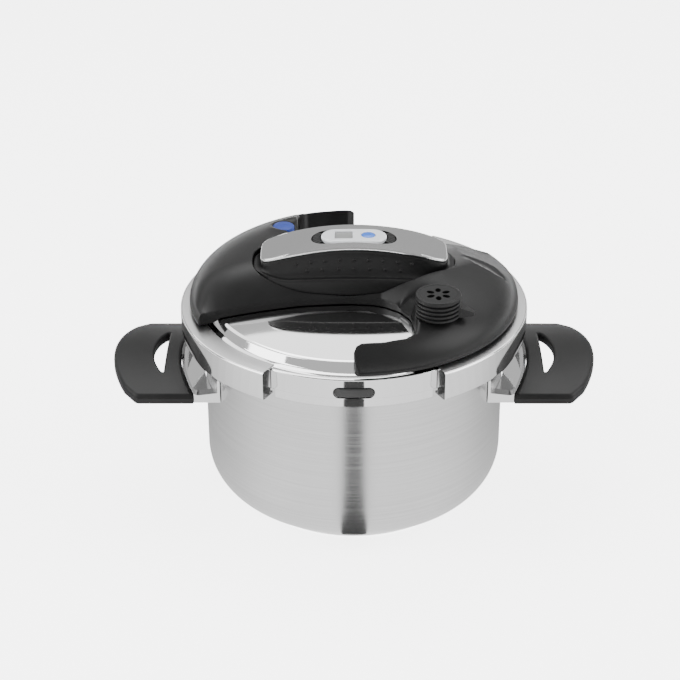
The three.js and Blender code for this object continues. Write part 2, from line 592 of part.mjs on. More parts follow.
// Chrome band along the top, open in the middle for the timer and its two clips.
add('handle_trim', cut(ovalSolid([...topRings(TRIM_T).reverse(), ...topRings(0)], 64),
  box(-TIMER_CLIP_X - GAP, TIMER_CLIP_X + GAP, -TIMER_HALF_Y - 1, TIMER_HALF_Y + 1, 180, 220)),
chrome());
for (const [side, sign] of [['left', -1], ['right', 1]]) {
  const inner = TIMER_HALF_X + 1;
  const clip = box(inner, TIMER_CLIP_X, -TIMER_HALF_Y + 1, TIMER_HALF_Y - 1,
    barZ(inner) - TRIM_T + 0.1, barZ(inner) + 0.6);
  add(`${side}_timer_clip`, sign > 0 ? clip : clip.rotateZ(Math.PI), rubber());
}

// ---------- timer ----------
function stadium(halfX, halfY) {
  const straight = halfX - halfY;
  return [...arc(straight, 0, halfY, -90, 90, 8), ...arc(-straight, 0, halfY, 90, 270, 8)];
}
const CASE_TOP_Z = 206.6;
const FACE_TOP_Z = 209.8;
const DISPLAY = { x: -7.5, halfX: 6.5, halfY: 6.2 };
const TIMER_BUTTON = { x: 10.5, r: 5, high: 210.8 };
const buttonWell = moved(cylinder(TIMER_BUTTON.r + GAP, CASE_TOP_Z - 3, 220), TIMER_BUTTON.x, 0, 0);
const BATTERY_R = 6.5;
add('timer_case', cut(plate(stadium(TIMER_HALF_X, TIMER_HALF_Y), TIMER_DEEP_Z + 1.8, CASE_TOP_Z),
  plate(stadium(TIMER_HALF_X - 2, TIMER_HALF_Y - 2), 190, CASE_TOP_Z - 4.2), buttonWell),
rubber());
add('timer_battery', cylinder(BATTERY_R, TIMER_DEEP_Z + 2.1, TIMER_DEEP_Z + 5.3), satinSteel());
add('timer_battery_cover', plate(stadium(TIMER_HALF_X, TIMER_HALF_Y), TIMER_DEEP_Z,
  TIMER_DEEP_Z + 1.5), rubber());
const displayHole = (grow) => [DISPLAY.x - DISPLAY.halfX - grow, DISPLAY.x + DISPLAY.halfX + grow,
  -DISPLAY.halfY - grow, DISPLAY.halfY + grow];
add('timer_face', cut(plate(stadium(TIMER_HALF_X, TIMER_HALF_Y), CASE_TOP_Z + GAP, FACE_TOP_Z),
  box(...displayHole(GAP), CASE_TOP_Z, 220), buttonWell), whitePlastic());
add('timer_display', box(...displayHole(0), CASE_TOP_Z + GAP, FACE_TOP_Z - 0.6), greyGlass());
add('timer_button', moved(cylinder(TIMER_BUTTON.r, CASE_TOP_Z - 1.6, TIMER_BUTTON.high),
  TIMER_BUTTON.x, 0, 0), bluePlastic());

// ---------- wedge and guide under the handle ----------
const wedgeOutline = [point(-wedgeHalf(WEDGE_LOW_Z), WEDGE_LOW_Z),
  point(wedgeHalf(WEDGE_LOW_Z), WEDGE_LOW_Z), point(wedgeHalf(WEDGE_TOP_Z), WEDGE_TOP_Z),
  point(-wedgeHalf(WEDGE_TOP_Z), WEDGE_TOP_Z)];
const HEAD_Z = WEDGE_LOW_Z + 2;
add('lift_wedge', cut(sidePlate(wedgeOutline, ARM_HALF_Y), cylinder(GUIDE_R + 0.4, 160, 190),
  ...[1, -1].flatMap((sign) => [
    moved(cylinder(1.9, 160, 186, 12), 0, sign * WEDGE_SCREW_Y, 0),
    moved(cylinder(3.3, 160, HEAD_Z + GAP, 12), 0, sign * WEDGE_SCREW_Y, 0)])), satinSteel());
for (const [side, sign] of [['rear', 1], ['front', -1]]) {
  const screw = join(cylinder(3, WEDGE_LOW_Z + 0.1, HEAD_Z, 12), cylinder(1.6, HEAD_Z - 1, 185, 12));
  add(`${side}_wedge_screw`, moved(screw, 0, sign * WEDGE_SCREW_Y, 0), satinSteel());
}
add('guide_post', join(cylinder(GUIDE_R, DOME_Z - 9, GUIDE_TOP_Z),
  cylinder(4.6, DOME_Z - LID_T - 2, DOME_Z + 1.4)), satinSteel());
add('guide_nut', cut(cylinder(8, DOME_Z - 8, DOME_Z - LID_T - GAP - 2, 6),
  cylinder(GUIDE_R + GAP, 150, 190)), satinSteel());

// ---------- valves through the lid ----------
function valveBody(low, shoulder, top) {
  return join(cylinder(5.8, low, top), cylinder(7.4, low, shoulder));
}
const knobFlangeZ = 160.8;
add('valve_body', moved(cut(valveBody(knobFlangeZ - 3, knobFlangeZ, 177.5),
  cylinder(2.5, 150, 190, 12)), KNOB.x, KNOB.y, 0), brass());
add('valve_nut', moved(cut(cylinder(7.6, 166.8, 170.4, 6), cylinder(6.1, 150, 190)),
  KNOB.x, KNOB.y, 0), satinSteel());
const safetyFlangeZ = 163.6;
add('safety_valve', moved(cut(valveBody(safetyFlangeZ - 3, safetyFlangeZ, 177),
  cylinder(2, 150, 175, 12)), SAFETY.x, SAFETY.y, 0), brass());
add('safety_valve_nut', moved(cut(cylinder(8, 169.8, 173.2, 6), cylinder(6.1, 150, 190)),
  SAFETY.x, SAFETY.y, 0), satinSteel());

// Ribbed valve knob with six petal holes and a pointer at its foot.
const RIBS = 4;
const RIB_PITCH = 3.1;
const RIB_DEEP = 1.6;
const knobLine = [[0, KNOB_LOW_Z], [KNOB_R - 1.2, KNOB_LOW_Z]];
for (let i = 0; i < RIBS; i += 1) {
  const z = KNOB_LOW_Z + i * RIB_PITCH;
  const next = z + RIB_PITCH;
  knobLine.push([KNOB_R, z + 0.6], [KNOB_R, z + 1.5], [KNOB_R - RIB_DEEP, z + 1.9],
    [KNOB_R - RIB_DEEP, next - 0.3]);
}
knobLine.push([KNOB_R, 198], [KNOB_R, 200], [KNOB_R - 1.4, KNOB.z], [0, KNOB.z]);
const petals = [];
for (let i = 0; i < 6; i += 1) {
  const angle = i * Math.PI / 3;
  petals.push(moved(cylinder(1.8, KNOB.z - 4, 220, 8), 6 * Math.cos(angle), 6 * Math.sin(angle), 0));
}
const knob = cut(join(revolve(knobLine, 24), cylinder(4.8, 178, KNOB_LOW_Z + 1)), ...petals);
add('valve_knob', moved(knob, KNOB.x, KNOB.y, 0), blackPlastic());
// The pointer is a fin that slopes down and away from the knob.
const POINTER_TIP = 26;
const pointer = cut(common(plate([point(0, -7), point(20, -5.5), point(POINTER_TIP - 1, -4),
  point(POINTER_TIP, -1), point(20, 3), point(14, 7), point(0, 8)], KNOB_LOW_Z - 0.1, 200),
sidePlate([point(0, 180), point(40, 180), point(POINTER_TIP, 187.6), point(KNOB_R, 192),
  point(0, 192)], 20)), cylinder(KNOB_R + GAP, 180, 200));
add('valve_pointer', moved(pointer, KNOB.x, KNOB.y, 0), blackPlastic());

// ---------- release button, its spring and guide; pressure pin ----------
const buttonDomeZ = domeZ(Math.hypot(BUTTON.x, BUTTON.y) - 6);
const BUTTON_LOW_Z = 181;
add('release_button', moved(revolve([[0, BUTTON_LOW_Z], [BUTTON_R, BUTTON_LOW_Z],
  [BUTTON_R, BUTTON.z - 1], [BUTTON_R - 1.2, BUTTON.z], [0, BUTTON.z + 0.6]], 28),
BUTTON.x, BUTTON.y, 0), bluePlastic());
add('button_guide', moved(cut(cylinder(6.2, buttonDomeZ + 0.4, buttonDomeZ + 4),
  cylinder(4.9, buttonDomeZ + 1.6, 190)), BUTTON.x, BUTTON.y, 0), satinSteel());
add('button_spring', moved(revolve([[3.2, buttonDomeZ + 2], [4.4, buttonDomeZ + 2],
  [4.4, BUTTON_LOW_Z - GAP], [3.2, BUTTON_LOW_Z - GAP]], 16), BUTTON.x, BUTTON.y, 0), satinSteel());
add('pressure_pin', moved(join(cylinder(PRESSURE_PIN.r, 160.5, 176.8, 14),
  cylinder(4, 159.6, 161.2, 14)), PRESSURE_PIN.x, PRESSURE_PIN.y, 0), satinSteel());

export default cooker;
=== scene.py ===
"""Studio scene of a clamp-lid pressure cooker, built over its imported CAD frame.

Shapes are worked out in millimetres in the frame's own axes and turned into metres when a mesh
is made. The parts that were rebuilt in fine detail replace their CAD nodes; the small fittings
under the cover are shown as CAD nodes with their own finish.
"""
import json
import math

import bmesh
import bpy
import numpy as np
from mathutils import Matrix, Vector
from mathutils.geometry import delaunay_2d_cdt


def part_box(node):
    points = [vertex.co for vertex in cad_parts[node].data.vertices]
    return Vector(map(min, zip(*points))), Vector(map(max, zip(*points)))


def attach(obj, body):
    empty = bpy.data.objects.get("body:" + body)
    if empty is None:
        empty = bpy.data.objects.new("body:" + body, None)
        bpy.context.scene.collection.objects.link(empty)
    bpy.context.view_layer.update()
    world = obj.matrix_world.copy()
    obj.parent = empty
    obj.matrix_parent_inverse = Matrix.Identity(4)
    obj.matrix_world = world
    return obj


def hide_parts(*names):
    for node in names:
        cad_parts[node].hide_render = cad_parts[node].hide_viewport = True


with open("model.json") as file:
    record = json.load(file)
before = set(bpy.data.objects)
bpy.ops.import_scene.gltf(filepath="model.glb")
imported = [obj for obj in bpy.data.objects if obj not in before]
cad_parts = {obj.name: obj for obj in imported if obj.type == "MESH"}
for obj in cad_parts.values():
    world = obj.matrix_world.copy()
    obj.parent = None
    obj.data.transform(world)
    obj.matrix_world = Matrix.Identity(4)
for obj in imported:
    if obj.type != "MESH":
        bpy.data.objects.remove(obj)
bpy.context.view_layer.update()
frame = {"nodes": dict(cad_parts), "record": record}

# ---------------------------------------------------------------- camera
TILT = math.radians(28.557)
DISTANCE = 1.4
TARGET_Z = 0.1224
camera_data = bpy.data.cameras.new("photo_camera")
camera_data.lens = 98.26
camera_data.sensor_width = 36
camera_data.shift_x = -0.0205
camera = bpy.data.objects.new("photo_camera", camera_data)
camera.location = (0, -DISTANCE * math.cos(TILT), TARGET_Z + DISTANCE * math.sin(TILT))
camera.rotation_euler = (math.pi / 2 - TILT, 0, 0)
bpy.context.scene.collection.objects.link(camera)
bpy.context.scene.camera = camera

# ---------------------------------------------------------------- sizes taken from the frame
MM = 1000.0


def box_mm(node):
    """Lowest and highest corner of a CAD node, in millimetres."""
    low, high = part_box(node)
    return np.array(low) * MM, np.array(high) * MM


pot_low, pot_high = box_mm("pot_body")
base_high = box_mm("base_disc")[1]
lid_low, lid_high = box_mm("lid_shell")
jaw_low, jaw_high = box_mm("right_jaw")
handle_low, handle_high = box_mm("handle_body")
trim_high = box_mm("handle_trim")[1]
face_low, face_high = box_mm("timer_face")
display_low, display_high = box_mm("timer_display")
push_low, push_high = box_mm("timer_button")
knob_low, knob_high = box_mm("valve_knob")
release_low, release_high = box_mm("release_button")
side_low, side_high = box_mm("right_side_handle")
tab_high = box_mm("gasket_tab")[1]

POT_R = 112.0
FLANGE_R = pot_high[0]
BASE_R = base_high[0]
SKIRT_R = lid_high[0]
SKIRT_Z = lid_low[2]
DOME_Z = lid_high[2]
DOME_R, DOME_EDGE_Z, RIM_Z = 104.0, 162.6, 155.0
JAW_R = jaw_high[0]
JAW_LOW_Z, JAW_TOP_Z = jaw_low[2], jaw_high[2]
COVER_R, COVER_EDGE_Z = 122.0, 160.0
KNOB_X, KNOB_Y = (knob_low[0] + knob_high[0]) / 2, (knob_low[1] + knob_high[1]) / 2
RELEASE_X, RELEASE_Y = (release_low[:2] + release_high[:2]) / 2
HANDLE_A, HANDLE_B, HANDLE_Z = handle_high[0], handle_high[1], handle_low[2]
BAND_A, BAND_B, BAND_TOP = trim_high[0], trim_high[1], trim_high[2]
BAND_END, BAND_SPAN = BAND_TOP - 12.0, 68.0


def dome_z(r):
    """Height of the lid's dome at a radius."""
    return DOME_Z - (DOME_Z - DOME_EDGE_Z) * (np.minimum(r, DOME_R) / DOME_R) ** 2


def band_z(x):
    """Height of the chrome band, which drops to BAND_END at BAND_SPAN from the middle."""
    return BAND_TOP - (BAND_TOP - BAND_END) * (np.asarray(x) / BAND_SPAN) ** 2


# ---------------------------------------------------------------- mesh helpers
def mesh_object(name, points, faces, smooth=38.0, normals=None):
    """A mesh object from millimetre points; edges sharper than `smooth` degrees stay crisp."""
    mesh = bpy.data.meshes.new(name)
    mesh.from_pydata((np.asarray(points, float) / MM).tolist(), [], [list(f) for f in faces])
    mesh.validate()
    mesh.shade_smooth()
    if normals is None:
        mesh.set_sharp_from_angle(angle=math.radians(smooth))
    else:
        mesh.normals_split_custom_set_from_vertices(normals)
    made = bpy.data.objects.new(name, mesh)
    bpy.context.scene.collection.objects.link(made)
    return made


def arc(cx, cy, r, a0, a1, steps):
    angles = np.radians(np.linspace(a0, a1, steps + 1))
    return [(cx + r * math.cos(a), cy + r * math.sin(a)) for a in angles]


def rounded(points, radius, steps=4, closed=True):
    """Rounds the corners of a polygon; radius is one number or one per corner."""
    points = [np.array(p, float) for p in points]
    count = len(points)
    radii = [radius] * count if np.isscalar(radius) else radius
    made = []
    for i, p in enumerate(points):
        if radii[i] <= 0 or (not closed and i in (0, count - 1)):
            made.append(tuple(p))
            continue
        a, b = points[i - 1] - p, points[(i + 1) % count] - p
        la, lb = np.linalg.norm(a), np.linalg.norm(b)
        a, b = a / la, b / lb
        turn = math.acos(float(np.clip(a @ b, -1, 1)))
        if turn > math.radians(176):
            made.append(tuple(p))
            continue
        reach = min(radii[i] / math.tan(turn / 2), la * 0.48, lb * 0.48)
        r = reach * math.tan(turn / 2)
        middle = p + (a + b) / np.linalg.norm(a + b) * r / math.sin(turn / 2)
        start, end = p + a * reach - middle, p + b * reach - middle
        sweep = math.pi - turn
        for k in range(steps + 1):
            t = k / steps
            v = (math.sin((1 - t) * sweep) * start + math.sin(t * sweep) * end) / math.sin(sweep)
            made.append(tuple(middle + v))
    return made


def turned(name, profile, segments=192, a0=0.0, a1=360.0, centre=(0, 0), warp=None, smooth=38.0):
    """Sweeps a closed (radius, height) outline about +Z, all round or from a0 to a1 degrees."""
    outline = np.array(profile, float)
    x, z = outline[:, 0], outline[:, 1]
    if (x * np.roll(z, -1) - np.roll(x, -1) * z).sum() < 0:
        outline = outline[::-1]
    whole = a1 - a0 >= 359.9
    count = segments if whole else segments + 1
    angles = np.radians(a0 + (a1 - a0) * np.arange(count) / segments)
    n = len(outline)
    points = np.zeros((count, n, 3))
    points[:, :, 0] = np.cos(angles)[:, None] * outline[:, 0]
    points[:, :, 1] = np.sin(angles)[:, None] * outline[:, 0]
    points[:, :, 2] = outline[:, 1]
    points = points.reshape(-1, 3)
    if warp:
        points = warp(points)
    points[:, 0] += centre[0]
    points[:, 1] += centre[1]
    faces = []
    for i in range(segments):
        j = (i + 1) % count
        for k in range(n):
            m = (k + 1) % n
            if outline[k, 0] < 1e-6 and outline[m, 0] < 1e-6:
                continue
            quad = [i * n + k, j * n + k, j * n + m, i * n + m]
            if outline[k, 0] < 1e-6:
                quad = [quad[0], quad[2], quad[3]]
            elif outline[m, 0] < 1e-6:
                quad = [quad[0], quad[1], quad[2]]
            faces.append(quad)
    if not whole:
        faces.append(list(range(n)))
        faces.append([(count - 1) * n + k for k in range(n)][::-1])
    made = mesh_object(name, points, faces, smooth)
    weld(made)
    return made


def weld(piece, distance=1e-7):
    work = bmesh.new()
    work.from_mesh(piece.data)
    bmesh.ops.remove_doubles(work, verts=work.verts, dist=distance)
    bmesh.ops.recalc_face_normals(work, faces=work.faces)
    work.to_mesh(piece.data)
    work.free()


def prism(name, outline, z0, z1):
    """An XY outline stood up from z0 to z1."""
    n = len(outline)
    points = [(x, y, z0) for x, y in outline] + [(x, y, z1) for x, y in outline]
    faces = [[i, (i + 1) % n, n + (i + 1) % n, n + i] for i in range(n)]
    faces += [list(range(n))[::-1], list(range(n, 2 * n))]
    made = mesh_object(name, points, faces)
    weld(made)
    return made


def block(name, x0, x1, y0, y1, z0, z1):
    return prism(name, [(x0, y0), (x1, y0), (x1, y1), (x0, y1)], z0, z1)


def stadium(half_x, half_y, steps=20):
    """A bar with round ends, lying along X."""
    straight = half_x - half_y
    return arc(straight, 0, half_y, -90, 90, steps) + arc(-straight, 0, half_y, 90, 270, steps)


def cut(piece, others, smooth=38.0):
    """Cuts pieces from a mesh and drops them."""
    for other in others:
        step = piece.modifiers.new("cut", "BOOLEAN")
        step.operation = "DIFFERENCE"
        step.solver = "EXACT"
        step.object = other
    apply_modifiers(piece)
    for other in others:
        bpy.data.objects.remove(other)
    piece.data.shade_smooth()
    piece.data.set_sharp_from_angle(angle=math.radians(smooth))
    return piece


def apply_modifiers(piece):
    graph = bpy.context.evaluated_depsgraph_get()
    graph.update()
    mesh = bpy.data.meshes.new_from_object(piece.evaluated_get(graph))
    piece.modifiers.clear()
    old = piece.data
    piece.data = mesh
    bpy.data.meshes.remove(old)


def bevel(piece, width):
    """Rounds the sharp edges of a mesh by width millimetres."""
    step = piece.modifiers.new("bevel", "BEVEL")
    step.width = width / MM
    step.segments = 3
    step.limit_method = "ANGLE"
    step.angle_limit = math.radians(40)
    step.harden_normals = True
    apply_modifiers(piece)
    return piece


def merge(pieces, name):
    """One object from several."""
    work = bmesh.new()
    for piece in pieces:
        work.from_mesh(piece.data)
    mesh = bpy.data.meshes.new(name)
    work.to_mesh(mesh)
    work.free()
    for piece in pieces:
        bpy.data.objects.remove(piece)
    made = bpy.data.objects.new(name, mesh)
    bpy.context.scene.collection.objects.link(made)
    return made


def turn_half(points):
    """The outline turned half round about the middle of the lid."""
    return [(-x, -y) for x, y in points]


def distance_to(line, xy, closed=False):
    """Distance from each point to a polyline."""
    line = np.array(line, float)
    if closed:
        line = np.vstack([line, line[:1]])
    a, along = line[:-1], np.diff(line, axis=0)
    length = (along ** 2).sum(1)
    nearest = np.full(len(xy), 1e9)
    for start in range(0, len(xy), 4000):
        part = xy[start:start + 4000]
        gap = part[:, None, :] - a[None]
        share = np.clip((gap * along).sum(2) / length, 0, 1)
        foot = gap - share[:, :, None] * along
        nearest[start:start + 4000] = np.sqrt((foot ** 2).sum(2).min(1))
    return nearest


def inside(outline, xy):
    """Which points lie inside a closed outline."""
    outline = np.array(outline, float)
    found = np.zeros(len(xy), bool)
    for a, b in zip(outline, np.roll(outline, -1, axis=0)):
        if a[1] == b[1]:
            continue
        cross = (a[1] > xy[:, 1]) != (b[1] > xy[:, 1])
        edge = a[0] + (b[0] - a[0]) * (xy[:, 1] - a[1]) / (b[1] - a[1])
        found ^= cross & (xy[:, 0] < edge)
    return found


def resample(outline, spacing):
    """Points every `spacing` along a closed outline, keeping its corners."""
    made = []
    for i, p in enumerate(outline):
        q = outline[(i + 1) % len(outline)]
        count = max(1, round(math.dist(p, q) / spacing))
        made += [(p[0] + (q[0] - p[0]) * k / count, p[1] + (q[1] - p[1]) * k / count)
                 for k in range(count)]
    return made


def slope_normals(height, x, y, step=0.05):
    """Upward normals of a height function."""
    slope_x = (height(x + step, y) - height(x - step, y)) / (2 * step)
    slope_y = (height(x, y + step) - height(x, y - step)) / (2 * step)
    return np.stack([-slope_x, -slope_y, np.ones(len(x))], 1)


def relief(name, outline, holes, top, under, spacing=2.5, rings=(), extra=(), edge=1.6):
    """A closed slab over a plan, with a smooth top height, straight walls and an underside.

    rings are distances from the edges at which rows of points are laid, and extra holds more
    points. top and under take x and y arrays. The top's normals come from its slope.
    """
    loops = [resample(loop, edge) for loop in [outline] + holes]
    edges_xy = np.vstack([np.array(loop) for loop in loops])

    def away(xy):
        gap = distance_to(loops[0], xy, closed=True)
        for loop in loops[1:]:
            gap = np.minimum(gap, distance_to(loop, xy, closed=True))
        return gap

    def within(xy):
        keep = inside(loops[0], xy)
        for loop in loops[1:]:
            keep &= ~inside(loop, xy)
        return keep

    rows = []
    for loop in loops:
        loop = np.array(loop)
        along = np.roll(loop, -1, axis=0) - np.roll(loop, 1, axis=0)
        along /= np.linalg.norm(along, axis=1)[:, None]
        side = np.stack([-along[:, 1], along[:, 0]], 1)
        for reach in rings:
            for sign in (1, -1):
                row = loop + side * reach * sign
                row = row[within(row)]
                if len(row):
                    rows.append(row[away(row) > reach * 0.93])
    low, high = edges_xy.min(0), edges_xy.max(0)
    xs = np.arange(low[0], high[0], spacing)
    ys = np.arange(low[1], high[1], spacing * 0.866)
    grid = np.array([(x + (j % 2) * spacing / 2, y) for j, y in enumerate(ys) for x in xs])
    grid = grid[within(grid)]
    edge_room = (max(rings) if len(rings) else 0) + spacing * 0.5
    grid = grid[away(grid) > edge_room]
    more = np.array(extra, float).reshape(-1, 2)
    if len(more):
        more = more[within(more)]
        more = more[away(more) > 0.3]
        rows.append(more)
    free = np.vstack(rows + [grid]) if rows else grid
    xy = np.vstack([edges_xy, free])
    links, start = [], 0
    for loop in loops:
        links += [(start + i, start + (i + 1) % len(loop)) for i in range(len(loop))]
        start += len(loop)
    made = delaunay_2d_cdt([Vector(p) for p in xy], links, [], 0, 1e-5)
    flat = np.array([tuple(p) for p in made[0]])
    triangles = np.array(made[2])
    middle = flat[triangles].mean(1)
    triangles = triangles[within(middle)]
    x, y = flat[:, 0], flat[:, 1]
    z = top(x, y)
    area = np.cross(np.c_[flat[triangles[:, 1]] - flat[triangles[:, 0]], np.zeros(len(triangles))],
                    np.c_[flat[triangles[:, 2]] - flat[triangles[:, 0]], np.zeros(len(triangles))])
    turned_over = area[:, 2] < 0
    triangles[turned_over] = triangles[turned_over][:, ::-1]
    count = len(flat)
    points = np.vstack([np.c_[flat, z], np.c_[flat, under(x, y)]])
    faces = triangles.tolist() + (triangles[:, ::-1] + count).tolist()
    normals = np.vstack([slope_normals(top, x, y), -slope_normals(under, x, y)])
    # Walls have their own points, so that they shade apart from the top.
    wall_points, wall_normals = [], []
    for loop in loops:
        ids = [int(((flat - p) ** 2).sum(1).argmin()) for p in loop]
        if (np.cross(np.c_[loop, np.zeros(len(loop))],
                     np.c_[np.roll(loop, -1, axis=0), np.zeros(len(loop))])[:, 2].sum() > 0) \
                != (loop is loops[0]):
            ids = ids[::-1]
        first = 2 * count + len(wall_points)
        size = len(ids)
        for k, i in enumerate(ids):
            a, b = flat[ids[k - 1]], flat[ids[(k + 1) % size]]
            out = np.array([(b - a)[1], -(b - a)[0], 0.0])
            out /= np.linalg.norm(out)
            normals[i] = out * 0.75 + [0, 0, 0.66]
            wall_points += [points[i], points[i + count]]
            wall_normals += [out, out]
        for k in range(size):
            m = (k + 1) % size
            faces.append([first + 2 * k + 1, first + 2 * m + 1, first + 2 * m, first + 2 * k])
    points = np.vstack([points, wall_points])
    normals = np.vstack([normals, wall_normals])
    normals /= np.linalg.norm(normals, axis=1)[:, None]
    return mesh_object(name, points, faces, normals=normals)


def fillet(gap, radius):
    """How far a rounded edge drops at a distance from the edge."""
    gap = np.clip(gap, 0, radius)
    return radius - np.sqrt(np.maximum(radius ** 2 - (radius - gap) ** 2, 0))


def oval(a, b, power=3.0, steps=200):
    """A superellipse, its points spread by polar angle of a stretched circle."""
    angles = np.linspace(0, 2 * np.pi, steps, endpoint=False)
    c, s = np.cos(angles) + 1e-9, np.sin(angles) + 1e-9
    r = (np.abs(c) ** power + np.abs(s) ** power) ** (-1 / power)
    return list(zip(a * c * r, b * s * r))


def oval_stack(name, rings, smooth):
    """Ovals of (half length, half width, power, height over x) stacked into a closed solid."""
    steps = 240
    points, faces = [], []
    for a, b, power, height in rings:
        outline = np.array(oval(a, b, power, steps))
        points += [(x, y, float(height(x))) for x, y in outline]
    for k in range(1, len(rings)):
        for i in range(steps):
            j = (i + 1) % steps
            faces.append([(k - 1) * steps + i, (k - 1) * steps + j, k * steps + j, k * steps + i])
    faces.append(list(range(steps))[::-1])
    last = (len(rings) - 1) * steps
    points.append((0, 0, float(rings[-1][3](0))))
    faces += [[last + i, last + (i + 1) % steps, len(points) - 1] for i in range(steps)]
    return mesh_object(name, points, faces, smooth)


# ---------------------------------------------------------------- materials
class Shader:
    """A principled material with procedural nodes in object coordinates."""

    def __init__(self, name, **values):
        self.material = bpy.data.materials.new(name)
        self.material.use_nodes = True
        self.tree = self.material.node_tree
        self.principled = self.tree.nodes["Principled BSDF"]
        for key, value in values.items():
            socket = self.principled.inputs[key.replace("_", " ")]
            socket.default_value = (*value, 1) if isinstance(value, tuple) else value
        self.coords = self.add("ShaderNodeTexCoord").outputs["Object"]

    def add(self, kind, **values):
        made = self.tree.nodes.new(kind)
        for key, value in values.items():
            made.inputs[key.replace("_", " ")].default_value = value
        return made

    def link(self, a, b):
        self.tree.links.new(a, b)

    def stretched(self, scale):
        """Object coordinates scaled along each axis."""
        mapping = self.add("ShaderNodeMapping", Scale=scale)
        self.link(self.coords, mapping.inputs["Vector"])
        return mapping.outputs["Vector"]

    def noise(self, scale, detail=3.0, stretch=(1, 1, 1), roughness=0.5):
        made = self.add("ShaderNodeTexNoise", Scale=scale, Detail=detail, Roughness=roughness)
        self.link(self.stretched(stretch), made.inputs["Vector"])
        return made.outputs["Fac"]

    def between(self, value, low, high, new_low, new_high):
        made = self.tree.nodes.new("ShaderNodeMapRange")
        for socket, number in zip(made.inputs[1:5], (low, high, new_low, new_high)):
            socket.default_value = number
        self.link(value, made.inputs["Value"])
        return made.outputs["Result"]

    def mixed(self, value, dark, light):
        made = self.tree.nodes.new("ShaderNodeMix")
        made.data_type = "RGBA"
        made.inputs[6].default_value = (*dark, 1)
        made.inputs[7].default_value = (*light, 1)
        self.link(value, made.inputs[0])
        return made.outputs[2]

    def colour(self, value, dark, light):
        self.link(self.mixed(value, dark, light), self.principled.inputs["Base Color"])

    def rough(self, value):
        self.link(value, self.principled.inputs["Roughness"])

    def bump(self, value, distance, strength=1.0):
        made = self.add("ShaderNodeBump", Distance=distance, Strength=strength)
        self.link(value, made.inputs["Height"])
        self.link(made.outputs["Normal"], self.principled.inputs["Normal"])


def grey(v):
    return (v, v, v)


def satin_steel(name, tone, rough, stripe=900.0):
    """Stainless steel brushed round the pot: fine level lines and slow cloudy changes."""
    s = Shader(name, Metallic=1.0, Anisotropic=0.35)
    lines = s.noise(1.0, 2.0, (6, 6, stripe), 0.7)
    cloud = s.noise(9.0, 2.0)
    s.colour(s.between(lines, 0.3, 0.7, 0, 1), grey(tone * 0.94), grey(tone * 1.03))
    blend = s.tree.nodes.new("ShaderNodeMath")
    blend.operation = "ADD"
    s.link(s.between(lines, 0.25, 0.75, rough - 0.03, rough + 0.05), blend.inputs[0])
    s.link(s.between(cloud, 0.3, 0.7, -0.01, 0.015), blend.inputs[1])
    s.rough(blend.outputs[0])
    s.bump(lines, 0.000002, 0.25)
    return s.material


def polished(name, tone, rough, smudge=0.02):
    """Mirror steel or chrome with faint polishing haze."""
    s = Shader(name, Metallic=1.0)
    haze = s.noise(14.0, 4.0)
    fine = s.noise(900.0, 2.0)
    s.colour(s.between(haze, 0.3, 0.7, 0, 1), grey(tone * 0.985), grey(tone))
    s.rough(s.between(haze, 0.35, 0.75, rough, rough + smudge))
    s.bump(fine, 0.000002, 0.2)
    return s.material


def moulded(name, dark, light, rough, grain=2600.0, depth=0.00002):
    """Black plastic with a fine spark-eroded grain."""
    s = Shader(name, Specular_IOR_Level=0.2)
    pores = s.add("ShaderNodeTexVoronoi", Scale=grain)
    s.link(s.coords, pores.inputs["Vector"])
    cloud = s.noise(30.0, 3.0)
    s.colour(s.between(cloud, 0.3, 0.7, 0, 1), dark, light)
    s.rough(s.between(cloud, 0.3, 0.7, rough - 0.02, rough + 0.03))
    s.bump(pores.outputs["Distance"], depth, 0.5)
    return s.material


def glossy(name, dark, light, rough):
    """Gloss-moulded plastic with a slight ripple."""
    s = Shader(name, Coat_Weight=0.25)
    ripple = s.noise(60.0, 2.0)
    s.colour(s.between(ripple, 0.3, 0.7, 0, 1), dark, light)
    s.rough(s.between(ripple, 0.3, 0.7, rough, rough + 0.05))
    s.bump(ripple, 0.00003, 0.15)
    return s.material


POT_STEEL = satin_steel("pot_steel", 0.62, 0.2)
BASE_STEEL = satin_steel("base_steel", 0.6, 0.3, 400.0)
LID_STEEL = polished("lid_mirror_steel", 0.8, 0.05)
JAW_STEEL = polished("jaw_chrome", 0.78, 0.07)
FLANGE_STEEL = satin_steel("jaw_flange_steel", 0.6, 0.34, 120.0)
GUARD_STEEL = polished("guard_chrome", 0.76, 0.06)
TRIM_STEEL = polished("trim_chrome", 0.55, 0.12, 0.05)
COVER_BLACK = moulded("cover_plastic", grey(0.005), grey(0.008), 0.36)
HANDLE_BLACK = moulded("handle_plastic", grey(0.005), grey(0.008), 0.4)
KNOB_BLACK = moulded("knob_plastic", grey(0.005), grey(0.008), 0.44)
GASKET_BLACK = moulded("gasket_rubber", grey(0.02), grey(0.026), 0.55, 1500.0)
TIMER_BLACK = moulded("timer_black", grey(0.012), grey(0.02), 0.5, 1100.0, 0.0002)
TIMER_WHITE = glossy("timer_white", (0.72, 0.74, 0.76), (0.78, 0.8, 0.82), 0.2)
TIMER_BLUE = glossy("timer_blue", (0.012, 0.12, 0.6), (0.02, 0.16, 0.68), 0.25)
RELEASE_BLUE = moulded("release_blue", (0.02, 0.045, 0.26), (0.03, 0.06, 0.32), 0.38)
BRASS = satin_steel("valve_brass", 0.5, 0.3, 500.0)
FITTING_STEEL = satin_steel("fitting_steel", 0.5, 0.32, 300.0)


